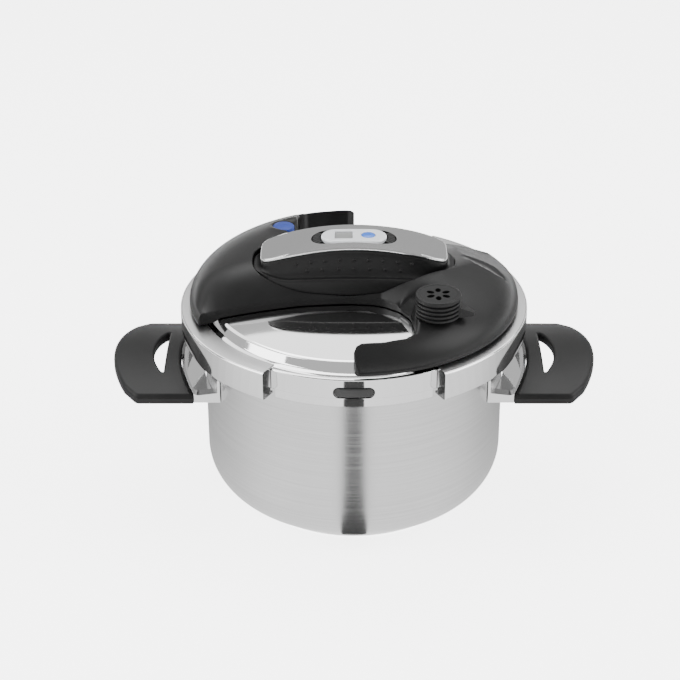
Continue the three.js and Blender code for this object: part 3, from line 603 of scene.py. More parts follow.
def lcd(name):
    """A grey liquid-crystal window: faint pixel grid under glass."""
    s = Shader(name, Coat_Weight=1.0, Roughness=0.3)
    grid = s.add("ShaderNodeTexWave", Scale=900.0, Distortion=0.0)
    s.link(s.coords, grid.inputs["Vector"])
    s.colour(s.between(grid.outputs["Fac"], 0, 1, 0, 1), (0.2, 0.205, 0.2), (0.24, 0.245, 0.24))
    return s.material


DISPLAY_GREY = lcd("display_grey")


def place(piece, body, slot, material, *nodes):
    """Gives a piece its material, its CAD body and the nodes it stands for; the slot argument is
    not used.
    """
    if material is not None:
        piece.data.materials.clear()
        piece.data.materials.append(material)
    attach(piece, body)
    if nodes:
        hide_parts(*nodes)
    return piece


# ---------------------------------------------------------------- pot and base
POT_CORNER, POT_WALL, POT_TOP_Z = 36.0, 1.2, 149
FLAT_R, POT_IN_R = POT_R - POT_CORNER, POT_R - POT_WALL
FLOOR_Z = pot_low[2]
CORNER_Z = FLOOR_Z + POT_CORNER
pot_line = [(0, FLOOR_Z)] + arc(FLAT_R, CORNER_Z, POT_CORNER, -90, 0, 32)
pot_line += rounded([(POT_R, 143), (POT_R, 145.6), (FLANGE_R, 147.2), (FLANGE_R, POT_TOP_Z),
                     (POT_IN_R, POT_TOP_Z), (POT_IN_R, 147)], [0, 1.2, 0.6, 0.6, 0.5, 0])
pot_line += arc(FLAT_R, CORNER_Z, POT_CORNER - POT_WALL, 0, -90, 24)
pot_line += [(0, FLOOR_Z + POT_WALL)]
pot = turned("pot", pot_line, 224)
place(pot, "root", "pot_steel", POT_STEEL, "pot_body")
BASE_T = 5
base_line = [(0, 0)] + rounded([(BASE_R - 20, 0), (BASE_R, 0), (BASE_R, BASE_T),
                                (BASE_R - 3, BASE_T)], [0, 1.6, 1.2, 0]) + [(0, BASE_T)]
place(turned("base", base_line, 192), "root", "base_steel", BASE_STEEL, "base_disc")

# ---------------------------------------------------------------- lid
lid_line = [(r, float(dome_z(r))) for r in np.linspace(0, DOME_R - 0.5, 26)]
lid_line += rounded([(DOME_R, DOME_EDGE_Z), (105.8, DOME_EDGE_Z - 0.9), (108.8, 156.2),
                     (111.4, RIM_Z), (SKIRT_R, RIM_Z), (SKIRT_R, 140), (SKIRT_R - 2, 138.8),
                     (SKIRT_R - 2, SKIRT_Z)], [0, 1.6, 2.4, 1.6, 1.2, 0.8, 0.8, 0], 5, False)
lid_line += [(SKIRT_R - 3.2, SKIRT_Z), (SKIRT_R - 3.2, 139.4), (SKIRT_R - 1.2, 140.4),
             (SKIRT_R - 1.2, 153.2), (SKIRT_R - 1.8, 153.8), (111.2, 153.8), (107.6, 155),
             (DOME_R + 0.6, DOME_EDGE_Z - 2.3), (DOME_R - 0.4, DOME_EDGE_Z - 1.2)]
lid_line += [(r, float(dome_z(r)) - 1.2) for r in np.linspace(DOME_R - 6, 0, 12)]
lid = turned("lid", lid_line, 240)
WINDOW_Z, WINDOW_HALF, TAB_HALF = 144.5, 4.4, 3.9
cutter = prism("window", stadium(tab_high[0] + 0.5, WINDOW_HALF), 105, 125)
cutter.data.transform(Matrix(((1, 0, 0, 0), (0, 0, -1, 0), (0, 1, 0, WINDOW_Z / MM),
                              (0, 0, 0, 1))))
# The skirt is cut back at the sides, where the jaws reach in.
cut(lid, [block("low_room", -140, 140, -102, 102, 120, 139),
          block("side_room", -140, 140, -96, 96, 130, 151), cutter])
place(lid, "lid", "lid_mirror_steel", LID_STEEL, "lid_shell")

tab_xy = stadium(tab_high[0], TAB_HALF, 24)
TAB_OUT, TAB_IN = 117.6, 114.8


def tab_top(x, z):
    """Gasket tab: a rubber pill in the window, with a raised middle."""
    edge = distance_to(tab_xy, np.c_[x, z], closed=True)
    middle = 1 / (1 + np.exp((np.abs(x) - 10.6) * 3.0))
    return TAB_OUT - fillet(edge, 1.2) + 1.1 * middle * (1 - np.exp(-edge / 0.7))


tab = relief("gasket_tab_seen", tab_xy, [], tab_top, lambda x, z: TAB_IN + 0 * x, 0.6,
             (0.3, 0.7, 1.2), edge=0.6)
# The flat pill is wrapped round the front of the skirt.
for vertex in tab.data.vertices:
    x, z, out = vertex.co * MM
    reach = math.sqrt(max(out * out - x * x, 1))
    vertex.co = Vector((x, -reach, z + WINDOW_Z)) / MM
tab.data.update()
tab.data.normals_split_custom_set_from_vertices([v.normal for v in tab.data.vertices])
tab.data.shade_smooth()
weld(tab, 2e-6)
place(tab, "lid", "gasket_rubber", GASKET_BLACK, "gasket_tab")

# ---------------------------------------------------------------- clamp jaws
JAW_SWEEP, JAW_LIP_R, JAW_FLANGE_R = 121.0, 115.4, 113
JAW_WALL, JAW_FLANGE_T = 1.5, 1.4
JAW_LIFT, JAW_LIFT_REACH = 3, 12
END_PLATE, END_INSET = 0.6, 0.05


def jaw_rise(points):
    """The jaw's lower edge is JAW_LIFT higher beside the side handle."""
    across = np.abs(np.degrees(np.arctan2(points[:, 1], np.abs(points[:, 0]))))
    share = 1 - np.clip((across - 24) / 10, 0, 1)
    lift = JAW_LIFT * share * share * (3 - 2 * share)
    low = np.clip((JAW_LOW_Z + JAW_LIFT_REACH - points[:, 2]) / JAW_LIFT_REACH, 0, 1)
    points[:, 2] += lift * low
    return points


def jaw_piece(name, start):
    """A C-section strip round the rim from the angle start, with a plate across each end."""
    line = rounded([(JAW_LIP_R, JAW_LOW_Z), (JAW_R, JAW_LOW_Z), (JAW_R, JAW_TOP_Z),
                    (JAW_FLANGE_R, JAW_TOP_Z), (JAW_FLANGE_R, JAW_TOP_Z - JAW_FLANGE_T),
                    (JAW_R - JAW_WALL, JAW_TOP_Z - JAW_FLANGE_T),
                    (JAW_R - JAW_WALL, JAW_LOW_Z + JAW_WALL), (JAW_LIP_R, JAW_LOW_Z + JAW_WALL)],
                   [0.6, 1.8, 1.6, 0.6, 0.6, 0.6, 0.8, 0.6], 5)
    strip = turned(name, line, 150, start, start + JAW_SWEEP, warp=jaw_rise)
    plate = [(SKIRT_R + 0.6, JAW_LOW_Z + 0.2), (JAW_R - 0.6, JAW_LOW_Z + 0.2),
             (JAW_R - 0.6, JAW_TOP_Z - 0.6), (SKIRT_R + 0.6, JAW_TOP_Z - 0.6)]
    ends = [turned(name + "_end", plate, 2, a, a + END_PLATE, warp=jaw_rise)
            for a in (start + END_INSET, start + JAW_SWEEP - END_INSET - END_PLATE)]
    made = merge([strip] + ends, name)
    made.data.materials.append(JAW_STEEL)
    made.data.materials.append(FLANGE_STEEL)
    for face in made.data.polygons:
        middle = face.center * MM
        r = middle.xy.length
        faces_axis = face.normal.xy.dot(middle.xy) / r < -0.5
        on_flange = face.normal.z > 0.9 and middle.z > JAW_TOP_Z - 0.6 and r < JAW_R - 1.2
        if faces_axis or on_flange:
            face.material_index = 1
    return made


for side, turn in (("right", 0), ("left", 180)):
    piece = jaw_piece(side + "_jaw_seen", turn - JAW_SWEEP / 2)
    place(piece, side + "_jaw", "jaw_chrome", None, side + "_jaw")

# ---------------------------------------------------------------- top cover
# The plan is S-shaped: each lobe runs round the rim, and the open edges cross the lid.
FRONT_EDGE = [(-106, -45), (-99, -42), (-68, -37), (-39, -33), (-3, -31.5), (19, -33.5),
              (33, -42)]
REAR_EDGE = [(103.4, 64.2), (94, 70), (84, 76), (72, 80), (58, 74), (46, 58), (36, 42), (24, 35)]
WAIST_EDGE = [(24, 35), (3, 31.5), (-19, 33.5), (-33, 42)]
STEEP_EDGE = [(-33, 42), (-41, 53), (-43.5, 70), (-43.5, 90), (-42, 97), (-38, 102.5),
              (-20, 108), (-5, 109.6), (-1.5, 111.5), (0.3, 115), (-0.8, 119.8)]
steep_radii = [14, 26, 9, 8, 9, 30, 4, 3, 3, 2]
right_rim = arc(0, 0, COVER_R - 0.1, -88.6, 29.4, 60)
left_rim = arc(0, 0, COVER_R - 0.1, 91.4, 203, 60)
cover_plan = rounded(
    right_rim + REAR_EDGE + WAIST_EDGE[1:] + STEEP_EDGE[1:]
    + left_rim + FRONT_EDGE + turn_half(STEEP_EDGE[1:]),
    [0] * 60 + [3, 3, 60, 40, 16, 14, 40, 20, 30] + [40, 60, 14] + steep_radii
    + [0] * 60 + [2.5, 4, 30, 90, 90, 90, 60, 14] + steep_radii, 6)
CORNER_EDGE = [(-33, 42), (-41, 53), (-43.3, 62)]
steep_lines = [STEEP_EDGE, turn_half(STEEP_EDGE)]
corner_lines = [CORNER_EDGE, turn_half(CORNER_EDGE)]
handle_hole = oval(HANDLE_A + 0.55, HANDLE_B + 0.55)
# How wide the slope beside an edge is, its power, and its height above the dome at the edge.
EDGE_SLOPE, REAR_SLOPE, CORNER_SLOPE = (38, 2.2, 6), (70, 1.3, 2.2), (18, 2.2, 6)
COVER_RISE, SHELL_T, FOOT_W, COLLAR_Z = 34, 2.5, 2.5, 173.2
WELL_Z, WELL_R, WELL_EDGE = 184.6, 16.6, 0.8
ROOM_R, ROOM_DEPTH = 8.6, 3.5
LEAF_START, LEAF_SPAN = np.array([78.5, 15]), np.array([34.5, -27.0])
LEAF_HALF, LEAF_DEPTH = 7.5, 1.7


def nearest_of(lines, xy):
    return np.minimum(distance_to(lines[0], xy), distance_to(lines[1], xy))


def cover_top(x, y):
    """A flattened crown sloping down to the open edge, with rounded edges and two recesses."""
    xy = np.c_[x, y]
    r = np.minimum(np.hypot(x, y), COVER_R)
    crown = COVER_EDGE_Z + COVER_RISE * np.sqrt(np.maximum(0, 1 - (r / COVER_R) ** 4))
    front, rear, waist = (distance_to(e, xy) for e in (FRONT_EDGE, REAR_EDGE, WAIST_EDGE))
    corner = nearest_of(corner_lines, xy)
    z = crown
    for away, (width, power, lip) in ((front, EDGE_SLOPE), (waist, EDGE_SLOPE),
                                      (rear, REAR_SLOPE), (corner, CORNER_SLOPE)):
        low = np.minimum(crown, dome_z(r) + lip)
        share = 1 - (1 - np.minimum(1, away / width)) ** power
        z = np.minimum(z, low + (crown - low) * share)
    steep = nearest_of(steep_lines, xy)
    z = z - fillet(steep, np.where(r > 108, 1.2, 3.4))
    z = z - fillet(np.minimum(np.minimum(front, waist), rear), 0.9)
    z = z - fillet(distance_to(handle_hole, xy, closed=True), 0.9)
    knob = np.hypot(x - KNOB_X, y - KNOB_Y)
    well = WELL_Z + WELL_EDGE * np.clip((knob - WELL_R) / WELL_EDGE, 0, 1) ** 2
    z = np.where(knob < WELL_R + WELL_EDGE, np.minimum(z, well), z)
    button = np.hypot(x - RELEASE_X, y - RELEASE_Y)
    z = z - ROOM_DEPTH * (button < ROOM_R) - 0.6 * np.exp(-((button - 8.7) / 0.7) ** 2)
    # A shallow leaf-shaped scoop behind the right end of the handle.
    length = np.linalg.norm(LEAF_SPAN)
    gap = xy - LEAF_START
    t = np.clip((gap @ LEAF_SPAN) / length ** 2, -0.2, 1.2)
    across = (gap[:, 0] * LEAF_SPAN[1] - gap[:, 1] * LEAF_SPAN[0]) / length
    leaf = np.clip(1 - (2 * t - 1) ** 2, 0, 1) * LEAF_HALF
    depth = np.clip(1 - (across / np.maximum(leaf, 0.01)) ** 2, 0, 1) * leaf / LEAF_HALF
    return z - LEAF_DEPTH * depth * (3 - 2 * depth) * depth


def cover_under(x, y):
    """The shell's inside, and its feet along every edge."""
    xy = np.c_[x, y]
    r = np.hypot(x, y)
    clear = np.where(r < DOME_R, dome_z(r) + 0.8,
                     np.interp(r, [DOME_R, 106.8, 109.5, 125], [163.4, 162.3, 160.2, 160.2]))
    top = cover_top(x, y)
    rim = distance_to(cover_plan, xy, closed=True)
    hole = distance_to(handle_hole, xy, closed=True)
    under = np.where(hole < FOOT_W, np.maximum(clear, COLLAR_Z), np.maximum(clear, top - SHELL_T))
    under = np.where(rim < FOOT_W, clear, under)
    return np.minimum(under, top - 0.15)


# Rows of points that keep the knob's well and the button's room crisp.
rounds = []
for x, y, radii in ((KNOB_X, KNOB_Y, (16.5, 16.9, 17.3, 17.5, 18.6)),
                    (RELEASE_X, RELEASE_Y, (7.6, 8.55, 8.65, 9.1, 9.7))):
    for r in radii:
        rounds += arc(x, y, r, 0, 360 * 63 / 64, 63)
cover = relief("cover", cover_plan, [handle_hole], cover_top, cover_under, 2.4,
               (0.25, 0.6, 1.1, 1.8, 2.45, 2.6, 3.5), rounds)
place(cover, "lid", "cover_plastic", COVER_BLACK, "top_cover")

# ---------------------------------------------------------------- handle
END_Z, END_FROM, END_TO = 188.0, 46, 70
HANDLE_DROP, BAND_T = 2.3, 2.0
DOT_R, DOT_SINK, DOT_RISE, DOT_TILT = 1.6, 0.9, 0.7, 1.15
TIMER_ROOM = (31.4, 11.2)


def smooth_path(points, steps=5):
    """Catmull-Rom through control rows."""
    rows = np.array(points, float)
    ends = np.vstack([2 * rows[0] - rows[1], rows, 2 * rows[-1] - rows[-2]])
    made = []
    for i in range(1, len(ends) - 2):
        a, b, c, d = ends[i - 1:i + 3]
        for t in np.linspace(0, 1, steps, endpoint=False):
            made.append(0.5 * (2 * b + (c - a) * t + (2 * a - 5 * b + 4 * c - d) * t ** 2
                               + (3 * b - a - 3 * c + d) * t ** 3))
    return made + [rows[-1]]


def smooth_share(value, low, high):
    t = np.clip((value - low) / (high - low), 0, 1)
    return t * t * (3 - 2 * t)


def part_way(share):
    """Height part of the way up to the band; the handle's ends are level with the cover."""
    def height(x):
        end = smooth_share(np.abs(x), END_FROM, END_TO)
        level = END_Z + (band_z(END_TO) - HANDLE_DROP - END_Z) * smooth_share(share, 0.3, 1)
        middle = HANDLE_Z + (band_z(x) - HANDLE_DROP - HANDLE_Z) * share
        return middle * (1 - end) + level * end
    return height


def band_top(drop, share=1.0):
    """Height some way under the band's top, which is crowned a little from edge to edge."""
    return lambda x: band_z(x) - drop + 0.5 * (1 - share ** 2)


# Insets of the rings that close the top, and the finger faces from foot to band as rows of half
# length, half width, power and share of the height.
SHARES = (0.97, 0.9, 0.75, 0.55, 0.35, 0.15)
face_rows = smooth_path([
    (HANDLE_A, HANDLE_B, 3, 0.34), (HANDLE_A - 0.2, HANDLE_B - 0.4, 3, 0.375),
    (HANDLE_A - 0.8, HANDLE_B - 1.3, 3, 0.405), (HANDLE_A - 1.5, 26.9, 3.1, 0.408),
    (HANDLE_A - 2.4, 25.0, 3.5, 0.425), (HANDLE_A - 3.4, 23.4, 4, 0.475),
    (BAND_A + 0.9, 22.2, 4.5, 0.57), (BAND_A + 0.2, 21.2, 5.3, 0.7), (BAND_A, 20.5, 6, 0.85),
    (BAND_A - 0.1, 20.3, 6, 0.98)])
handle_rings = [(HANDLE_A, HANDLE_B, 3, lambda x: HANDLE_Z + 0 * x)]
handle_rings += [(a, b, power, part_way(share)) for a, b, power, share in face_rows]
handle_rings += [(BAND_A * k, BAND_B * k, 6, band_top(HANDLE_DROP)) for k in SHARES]
body = oval_stack("handle", handle_rings, smooth=50)
dot_line = [(0, -DOT_SINK)] + arc(0, -DOT_SINK, DOT_R, 0, 90, 6)[:-1] + [(0, DOT_RISE)]
dots = []
for row, share, reach, spots in ((22.2, 0.57, 34, 7), (20.9, 0.78, 42, 9)):
    for side in (1, -1):
        for x in np.linspace(-reach, reach, spots):
            y = row * (1 - (abs(x) / BAND_A) ** 5) ** (1 / 5)
            z = float(part_way(share)(x))
            dot = turned("dot", dot_line, 14)
            dot.data.transform(Matrix.Translation(Vector((x, side * y, z)) / MM)
                               @ Matrix.Rotation(-side * DOT_TILT, 4, "X"))
            dots.append(dot)
body = merge([body] + dots, "handle")
place(body, "handle", "handle_plastic", HANDLE_BLACK, "handle_body")
body.data.shade_smooth()
body.data.set_sharp_from_angle(angle=math.radians(50))

band_rings = [(BAND_A * k, BAND_B * k, 6, band_top(BAND_T)) for k in reversed(SHARES)]
band_rings += [(BAND_A - inset, BAND_B - inset, 6, band_top(drop)) for inset, drop in
               ((0.3, BAND_T), (0, 1.75), (0, 0.75), (0.2, 0.3), (0.7, 0.02))]
band_rings += [(BAND_A * k, BAND_B * k, 6, band_top(0, k)) for k in SHARES]
trim = oval_stack("trim", band_rings, smooth=60)
cut(trim, [prism("timer_room", stadium(*TIMER_ROOM), 190, 220)], smooth=50)
place(trim, "handle", "trim_chrome", TRIM_STEEL, "handle_trim")

# ---------------------------------------------------------------- timer
FACE_A, FACE_B = face_high[0], face_high[1]
DISPLAY_X = (display_low[0] + display_high[0]) / 2
PUSH_X, PUSH_R = (push_low[0] + push_high[0]) / 2, (push_high[0] - push_low[0]) / 2
face_plan = stadium(FACE_A, FACE_B)
half_w, half_h = (display_high[0] - display_low[0]) / 2, display_high[1]
glass_plan = rounded([(DISPLAY_X - half_w, -half_h), (DISPLAY_X + half_w, -half_h),
                      (DISPLAY_X + half_w, half_h), (DISPLAY_X - half_w, half_h)], 0.7, 3)
push_plan = arc(PUSH_X, 0, PUSH_R + 0.3, 0, 360 * 47 / 48, 47)


def face_top(x, y):
    xy = np.c_[x, y]
    inner = np.minimum(distance_to(glass_plan, xy, closed=True),
                       distance_to(push_plan, xy, closed=True))
    crown = 0.5 * (1 - (x / FACE_A) ** 2)
    return face_high[2] + crown - fillet(distance_to(face_plan, xy, closed=True), 1.4) \
        - fillet(inner, 0.35)


place(relief("timer_bezel", face_plan, [glass_plan, push_plan], face_top,
             lambda x, y: face_low[2] - 0.2 + 0 * x, 1.0, (0.2, 0.5, 1.0, 1.5), edge=0.7),
      "timer", "timer_white", TIMER_WHITE, "timer_face")
glass = prism("timer_glass", [(DISPLAY_X + (x - DISPLAY_X) * 0.98, y * 0.98)
                              for x, y in glass_plan], display_low[2], display_high[2] - 0.1)
place(glass, "timer", "display_grey", DISPLAY_GREY, "timer_display")
push_line = [(0, push_low[2]), (PUSH_R, push_low[2]), (PUSH_R, push_high[2] - 1.0)]
push_line += [(PUSH_R * math.cos(a), push_high[2] - 1.0 + math.sin(a))
              for a in np.radians(np.arange(10, 90, 8))] + [(0, push_high[2])]
place(turned("timer_push", push_line, 64, centre=(PUSH_X, 0)), "timer_button", "timer_blue",
      TIMER_BLUE, "timer_button")
# The clips are dark crescents round the timer's ends, with fine ribs for a fingertip.
RIB_TURN = 10.5
clip_rib = rounded([(11.4, 203.4), (16.9, 203.4), (16.9, 207.0), (11.4, 208.2)], 0.5, 3)
clip_core = [(11.6, 203.6), (16.7, 203.6), (16.7, 206.5), (11.6, 207.7)]
for side, sign in (("right", 1), ("left", -1)):
    parts = []
    for k in range(-3, 4):
        mid = k * RIB_TURN + (0 if sign > 0 else 180)
        parts.append(turned("rib", clip_rib, 10, mid - 4.2, mid + 4.2))
        parts.append(turned("core", clip_core, 6, mid - 5.3, mid + 5.3))
    clip = merge(parts, side + "_clip")
    clip.data.transform(Matrix.Translation((sign * (FACE_A - FACE_B) / MM, 0, 0)))
    clip.data.shade_smooth()
    clip.data.set_sharp_from_angle(angle=math.radians(40))
    place(clip, "handle", "timer_black", TIMER_BLACK, side + "_timer_clip")

# ---------------------------------------------------------------- valve knob and pointer
KNOB_R, KNOB_TOP = (knob_high[0] - knob_low[0]) / 2, knob_high[2]
KNOB_RIBS, RIB_PITCH, KNOB_HOLES = 4, 3.15, 6
knob_points = [(4.8, knob_low[2]), (4.8, 185), (KNOB_R - 0.7, 185)]
knob_radii = [0, 0, 0.7]
for k in range(KNOB_RIBS):
    z = 185.2 + RIB_PITCH * k
    knob_points += [(KNOB_R - 0.2, z), (KNOB_R - 0.2, z + 1.5), (KNOB_R - 1.9, z + 1.9),
                    (KNOB_R - 1.9, z + 2.9)]
    knob_radii += [0.55, 0.55, 0.3, 0.3]
knob_points += [(KNOB_R, 197.9), (KNOB_R, KNOB_TOP), (KNOB_R - 2.2, KNOB_TOP),
                (KNOB_R - 2.7, KNOB_TOP - 0.35), (KNOB_R - 6, KNOB_TOP - 0.45)]
knob_radii += [0.4, 1.1, 0.4, 0.4, 0]
knob_line = [(0, knob_low[2])] + rounded(knob_points, knob_radii, 5, False) \
    + [(0, KNOB_TOP - 0.25)]
knob = turned("knob", knob_line, 128, smooth=45)
petals = []
for k in range(KNOB_HOLES):
    turn = math.radians(360 / KNOB_HOLES * k + 30)
    petal = [(6.2 + 2.9 * math.cos(a), 2.0 * math.sin(a))
             for a in np.linspace(0, 2 * np.pi, 24, endpoint=False)]
    petals.append(prism("petal", [(x * math.cos(turn) - y * math.sin(turn),
                                   x * math.sin(turn) + y * math.cos(turn)) for x, y in petal],
                        KNOB_TOP - 5, KNOB_TOP + 3))
cut(knob, petals, smooth=45)
knob.data.transform(Matrix.Translation((KNOB_X / MM, KNOB_Y / MM, 0)))
place(knob, "valve", "knob_plastic", KNOB_BLACK, "valve_knob")
pointer_plan = rounded([(12, -7), (20, -5.5), (25, -4), (26, -1), (20, 3), (14, 7)],
                       [0, 3, 1.0, 1.0, 3, 0], 4)
pointer = prism("pointer", [(x + KNOB_X, y + KNOB_Y) for x, y in pointer_plan], 184.9, 196)
roof = prism("roof", [(8, 193.4), (16, 192), (26, 187.4), (40, 183), (40, 210), (8, 210)],
             -30, 30)
roof.data.transform(Matrix.Translation((KNOB_X / MM, KNOB_Y / MM, 0))
                    @ Matrix.Rotation(math.pi / 2, 4, "X"))
core = turned("core", [(0, 180), (14.2, 180), (14.2, 200), (0, 200)], 64,
              centre=(KNOB_X, KNOB_Y))
cut(pointer, [roof, core])
bevel(pointer, 0.7)
place(pointer, "valve", "knob_plastic", KNOB_BLACK, "valve_pointer")

# ---------------------------------------------------------------- release button
RELEASE_R = (release_high[0] - release_low[0]) / 2
RELEASE_TOP = release_high[2]
release_line = [(0, release_low[2])]
release_line += rounded([(RELEASE_R, release_low[2]), (RELEASE_R, RELEASE_TOP - 0.8),
                         (RELEASE_R - 2.5, RELEASE_TOP)], [0.4, 1.0, 3.0], 6, False)
release_line += [(0, RELEASE_TOP + 0.1)]
place(turned("release", release_line, 72, centre=(RELEASE_X, RELEASE_Y)), "release_button",
      "release_blue", RELEASE_BLUE, "release_button")

# ---------------------------------------------------------------- side handles and guards
SIDE_HALF, SIDE_OUT, SIDE_CORNER, SIDE_IN = side_high[1], side_high[0], 163.0, 130.0
SIDE_LOW, SIDE_T, SIDE_ARCH = side_low[2], 8.0, 8.0
SLOT_ARC_X, SLOT_ARC_R, SLOT_IN, SLOT_HALF = 91, 60, 141.5, 31


def side_outline():
    """The grip's plan: a shallow bow outside and a hollow curve round the pot inside."""
    bow = SIDE_OUT - SIDE_CORNER
    r = (SIDE_HALF ** 2 + bow ** 2) / (2 * bow)
    outer = math.degrees(math.asin(SIDE_HALF / r)) - 7
    inner = math.degrees(math.asin(SIDE_HALF / SIDE_IN))
    front = arc(SIDE_OUT - r, 0, r, -outer, outer, 40)
    back = arc(0, 0, SIDE_IN, inner, -inner, 40)
    plan = front + [(SIDE_CORNER - 3, SIDE_HALF)] + back + [(SIDE_CORNER - 3, -SIDE_HALF)]
    radii = [5] + [0] * 39 + [5, 6, 2.5] + [0] * 39 + [2.5, 6]
    return rounded(plan, radii, 6)


side_plan = side_outline()
slot_plan = rounded(arc(SLOT_ARC_X, 0, SLOT_ARC_R, -29, 29, 30)
                    + [(SLOT_IN, SLOT_HALF), (SLOT_IN, -SLOT_HALF)],
                    [3] + [0] * 29 + [3, 4, 4], 5)


def arch(y):
    """The grip rises from its ends to its middle."""
    return SIDE_ARCH * (1 - (y / SIDE_HALF) ** 2)


def side_edges(x, y):
    """Distances from the grip's rim and from its slot."""
    xy = np.c_[x, y]
    return distance_to(side_plan, xy, closed=True), distance_to(slot_plan, xy, closed=True)


def side_top(x, y):
    """The grip's top, hollowed a little along the slot, with soft edges."""
    rim, slot_gap = side_edges(x, y)
    hollow = 0.9 * np.exp(-((x - 158) / 10) ** 2 - (y / 34) ** 2)
    return SIDE_LOW + SIDE_T + arch(y) - hollow - fillet(rim, 2.6) - fillet(slot_gap, 1.8)


def side_under(x, y):
    rim, slot_gap = side_edges(x, y)
    return SIDE_LOW + arch(y) + fillet(rim, 2.2) + fillet(slot_gap, 1.4)


def mirrored(piece, sign):
    """Turns a piece made for the right-hand side by half a turn for the left-hand one."""
    if sign < 0:
        piece.data.transform(Matrix.Rotation(math.pi, 4, "Z"))
    return piece


GUARD_R, GUARD_HALF, GUARD_Z, GUARD_TOP = SIDE_IN - 0.3, 55, 100, 118
guard_turn = math.degrees(math.asin(GUARD_HALF / GUARD_R))
guard_turn_in = math.degrees(math.asin(GUARD_HALF / (POT_R + 0.3)))
for side, sign in (("right", 1), ("left", -1)):
    grip = relief(side + "_grip", side_plan, [slot_plan], side_top, side_under, 2.4,
                  (0.25, 0.7, 1.3, 2.0, 2.8))
    mirrored(grip, sign)
    place(grip, "root", "handle_plastic", HANDLE_BLACK, side + "_side_handle")
    guard = prism(side + "_guard", arc(0, 0, GUARD_R, -guard_turn, guard_turn, 60)
                  + arc(0, 0, POT_R + 0.5, guard_turn_in, -guard_turn_in, 60), GUARD_Z, GUARD_TOP)
    hollow = prism("hollow", arc(0, 0, GUARD_R - 2, 3 - guard_turn, guard_turn - 3, 60)
                   + arc(0, 0, POT_R - 4, guard_turn_in - 4, 4 - guard_turn_in, 60),
                   GUARD_Z + 2.5, GUARD_TOP + 1)
    slope = prism("slope", rounded([(100, 119), (100, 108), (115, 106), (132, 116), (132, 119)],
                                   [0, 0, 6, 2, 0], 6), -70, 70)
    slope.data.transform(Matrix.Rotation(math.pi / 2, 4, "X"))
    cut(guard, [hollow, slope])
    bevel(guard, 0.45)
    mirrored(guard, sign)
    place(guard, "root", "guard_chrome", GUARD_STEEL, side + "_handle_guard")

# ---------------------------------------------------------------- fittings shown as CAD nodes
SLOT_MATERIALS = {
    "pot_steel": POT_STEEL, "base_steel": BASE_STEEL, "lid_mirror_steel": LID_STEEL,
    "jaw_chrome": JAW_STEEL, "guard_chrome": GUARD_STEEL, "trim_chrome": TRIM_STEEL,
    "cover_plastic": COVER_BLACK, "handle_plastic": HANDLE_BLACK, "knob_plastic": KNOB_BLACK,
    "gasket_rubber": GASKET_BLACK, "timer_black": TIMER_BLACK, "timer_white": TIMER_WHITE,
    "display_grey": DISPLAY_GREY, "timer_blue": TIMER_BLUE, "release_blue": RELEASE_BLUE,
    "valve_brass": BRASS, "fitting_steel": FITTING_STEEL,
}
for row in frame["record"]["subparts"]:
    node = frame["nodes"].get(row["node"])
    if node is not None and not node.hide_render:
        node.data.materials.clear()
        node.data.materials.append(SLOT_MATERIALS[row["material_slot"]])

# ---------------------------------------------------------------- studio
RING_STEP, RING_IN, RING_OUT, RING_Z = 6, 84, 1500, 0.5
# How bright the floor shows in the steel, from the front (0 degrees) round to the back.
RING_TURNS = (0, 40, 74, 92, 116, 152, 180)
RING_TONES = (1.7, 1.5, 1.05, 0.8, 0.5, 0.2, 0.14)
FLOOR_SIZE = 6000


def glowing(name, strength):
    """An even glow, whatever falls on it."""
    return Shader(name, Base_Color=(0, 0, 0), Emission_Color=(1, 1, 1),
                  Emission_Strength=strength).material


def card(name, corners, strength):
    """A glowing stage card that shows only in reflections."""
    made = mesh_object(name, corners, [[0, 1, 2, 3]])
    made.data.materials.append(glowing(name, strength))
    made.visible_camera = False
    made.visible_shadow = False
    made.visible_diffuse = False


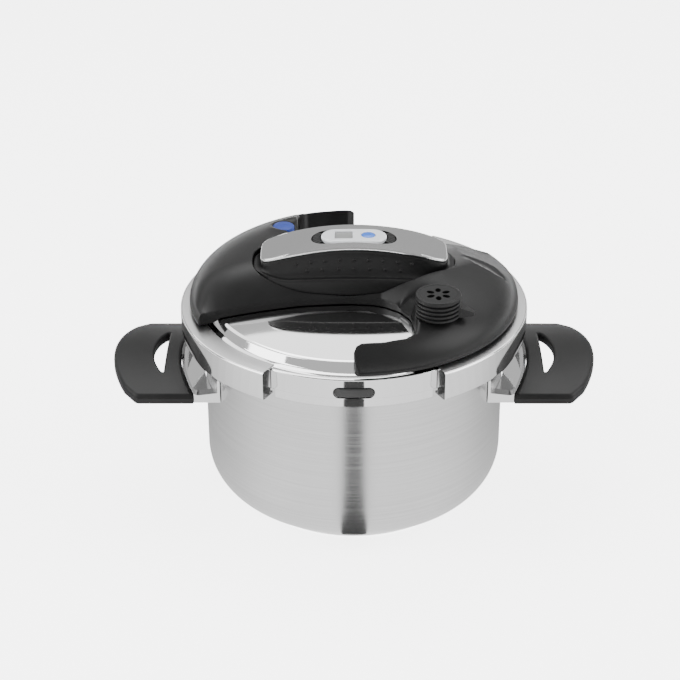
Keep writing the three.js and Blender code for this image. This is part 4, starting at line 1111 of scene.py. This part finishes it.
def lamp(name, place_at, aim, size, power):
    """A soft box, in metres and watts."""
    data = bpy.data.lights.new(name, "AREA")
    data.shape = "RECTANGLE"
    data.size, data.size_y = size
    data.energy = power
    made = bpy.data.objects.new(name, data)
    made.location = place_at
    made.rotation_euler = (Vector(aim) - Vector(place_at)).to_track_quat("-Z", "Y").to_euler()
    bpy.context.scene.collection.objects.link(made)


white = Shader("floor_white", Roughness=0.8, Emission_Color=(1, 1, 1), Emission_Strength=4.2)
white.colour(white.noise(3.0, 2.0), grey(0.8955), grey(0.9))
floor = mesh_object("floor", [(-FLOOR_SIZE, -FLOOR_SIZE, 0), (FLOOR_SIZE, -FLOOR_SIZE, 0),
                              (FLOOR_SIZE, FLOOR_SIZE, 0), (-FLOOR_SIZE, FLOOR_SIZE, 0)],
                    [[0, 1, 2, 3]])
floor.data.materials.append(white.material)
world = bpy.data.worlds.new("studio")
world.use_nodes = True
world.node_tree.nodes["Background"].inputs["Color"].default_value = (1, 1, 1, 1)
world.node_tree.nodes["Background"].inputs["Strength"].default_value = 0.7
bpy.context.scene.world = world
lamp("left_box", (-1.5, -0.5, 1.3), (0, 0, 0.1), (1.2, 1.4), 30)
lamp("right_box", (1.6, -0.3, 1.2), (0, 0, 0.1), (1.2, 1.4), 26)
lamp("top_box", (0, 0.7, 1.9), (0, 0, 0.1), (1.6, 1.0), 22)
for side, sign in (("left", -1), ("right", 1)):
    for k in range(180 // RING_STEP):
        turn = RING_STEP * k
        corners = []
        for degrees, r in ((turn, RING_IN), (turn + RING_STEP, RING_IN),
                           (turn + RING_STEP, RING_OUT), (turn, RING_OUT)):
            a = math.radians(degrees)
            corners.append((sign * r * math.sin(a), -r * math.cos(a), RING_Z))
        tone = np.interp(turn + RING_STEP / 2, RING_TURNS, RING_TONES)
        card("%s_ring_%d" % (side, k), corners, float(tone))
card("stripe_card", [(-9, -84, 0.7), (9, -84, 0.7), (140, -1300, 0.7), (-140, -1300, 0.7)], 0.01)
card("rear_card", [(-3000, 1500, 1350), (3000, 1500, 1350), (3000, 1500, 4200),
                   (-3000, 1500, 4200)], 2.6)
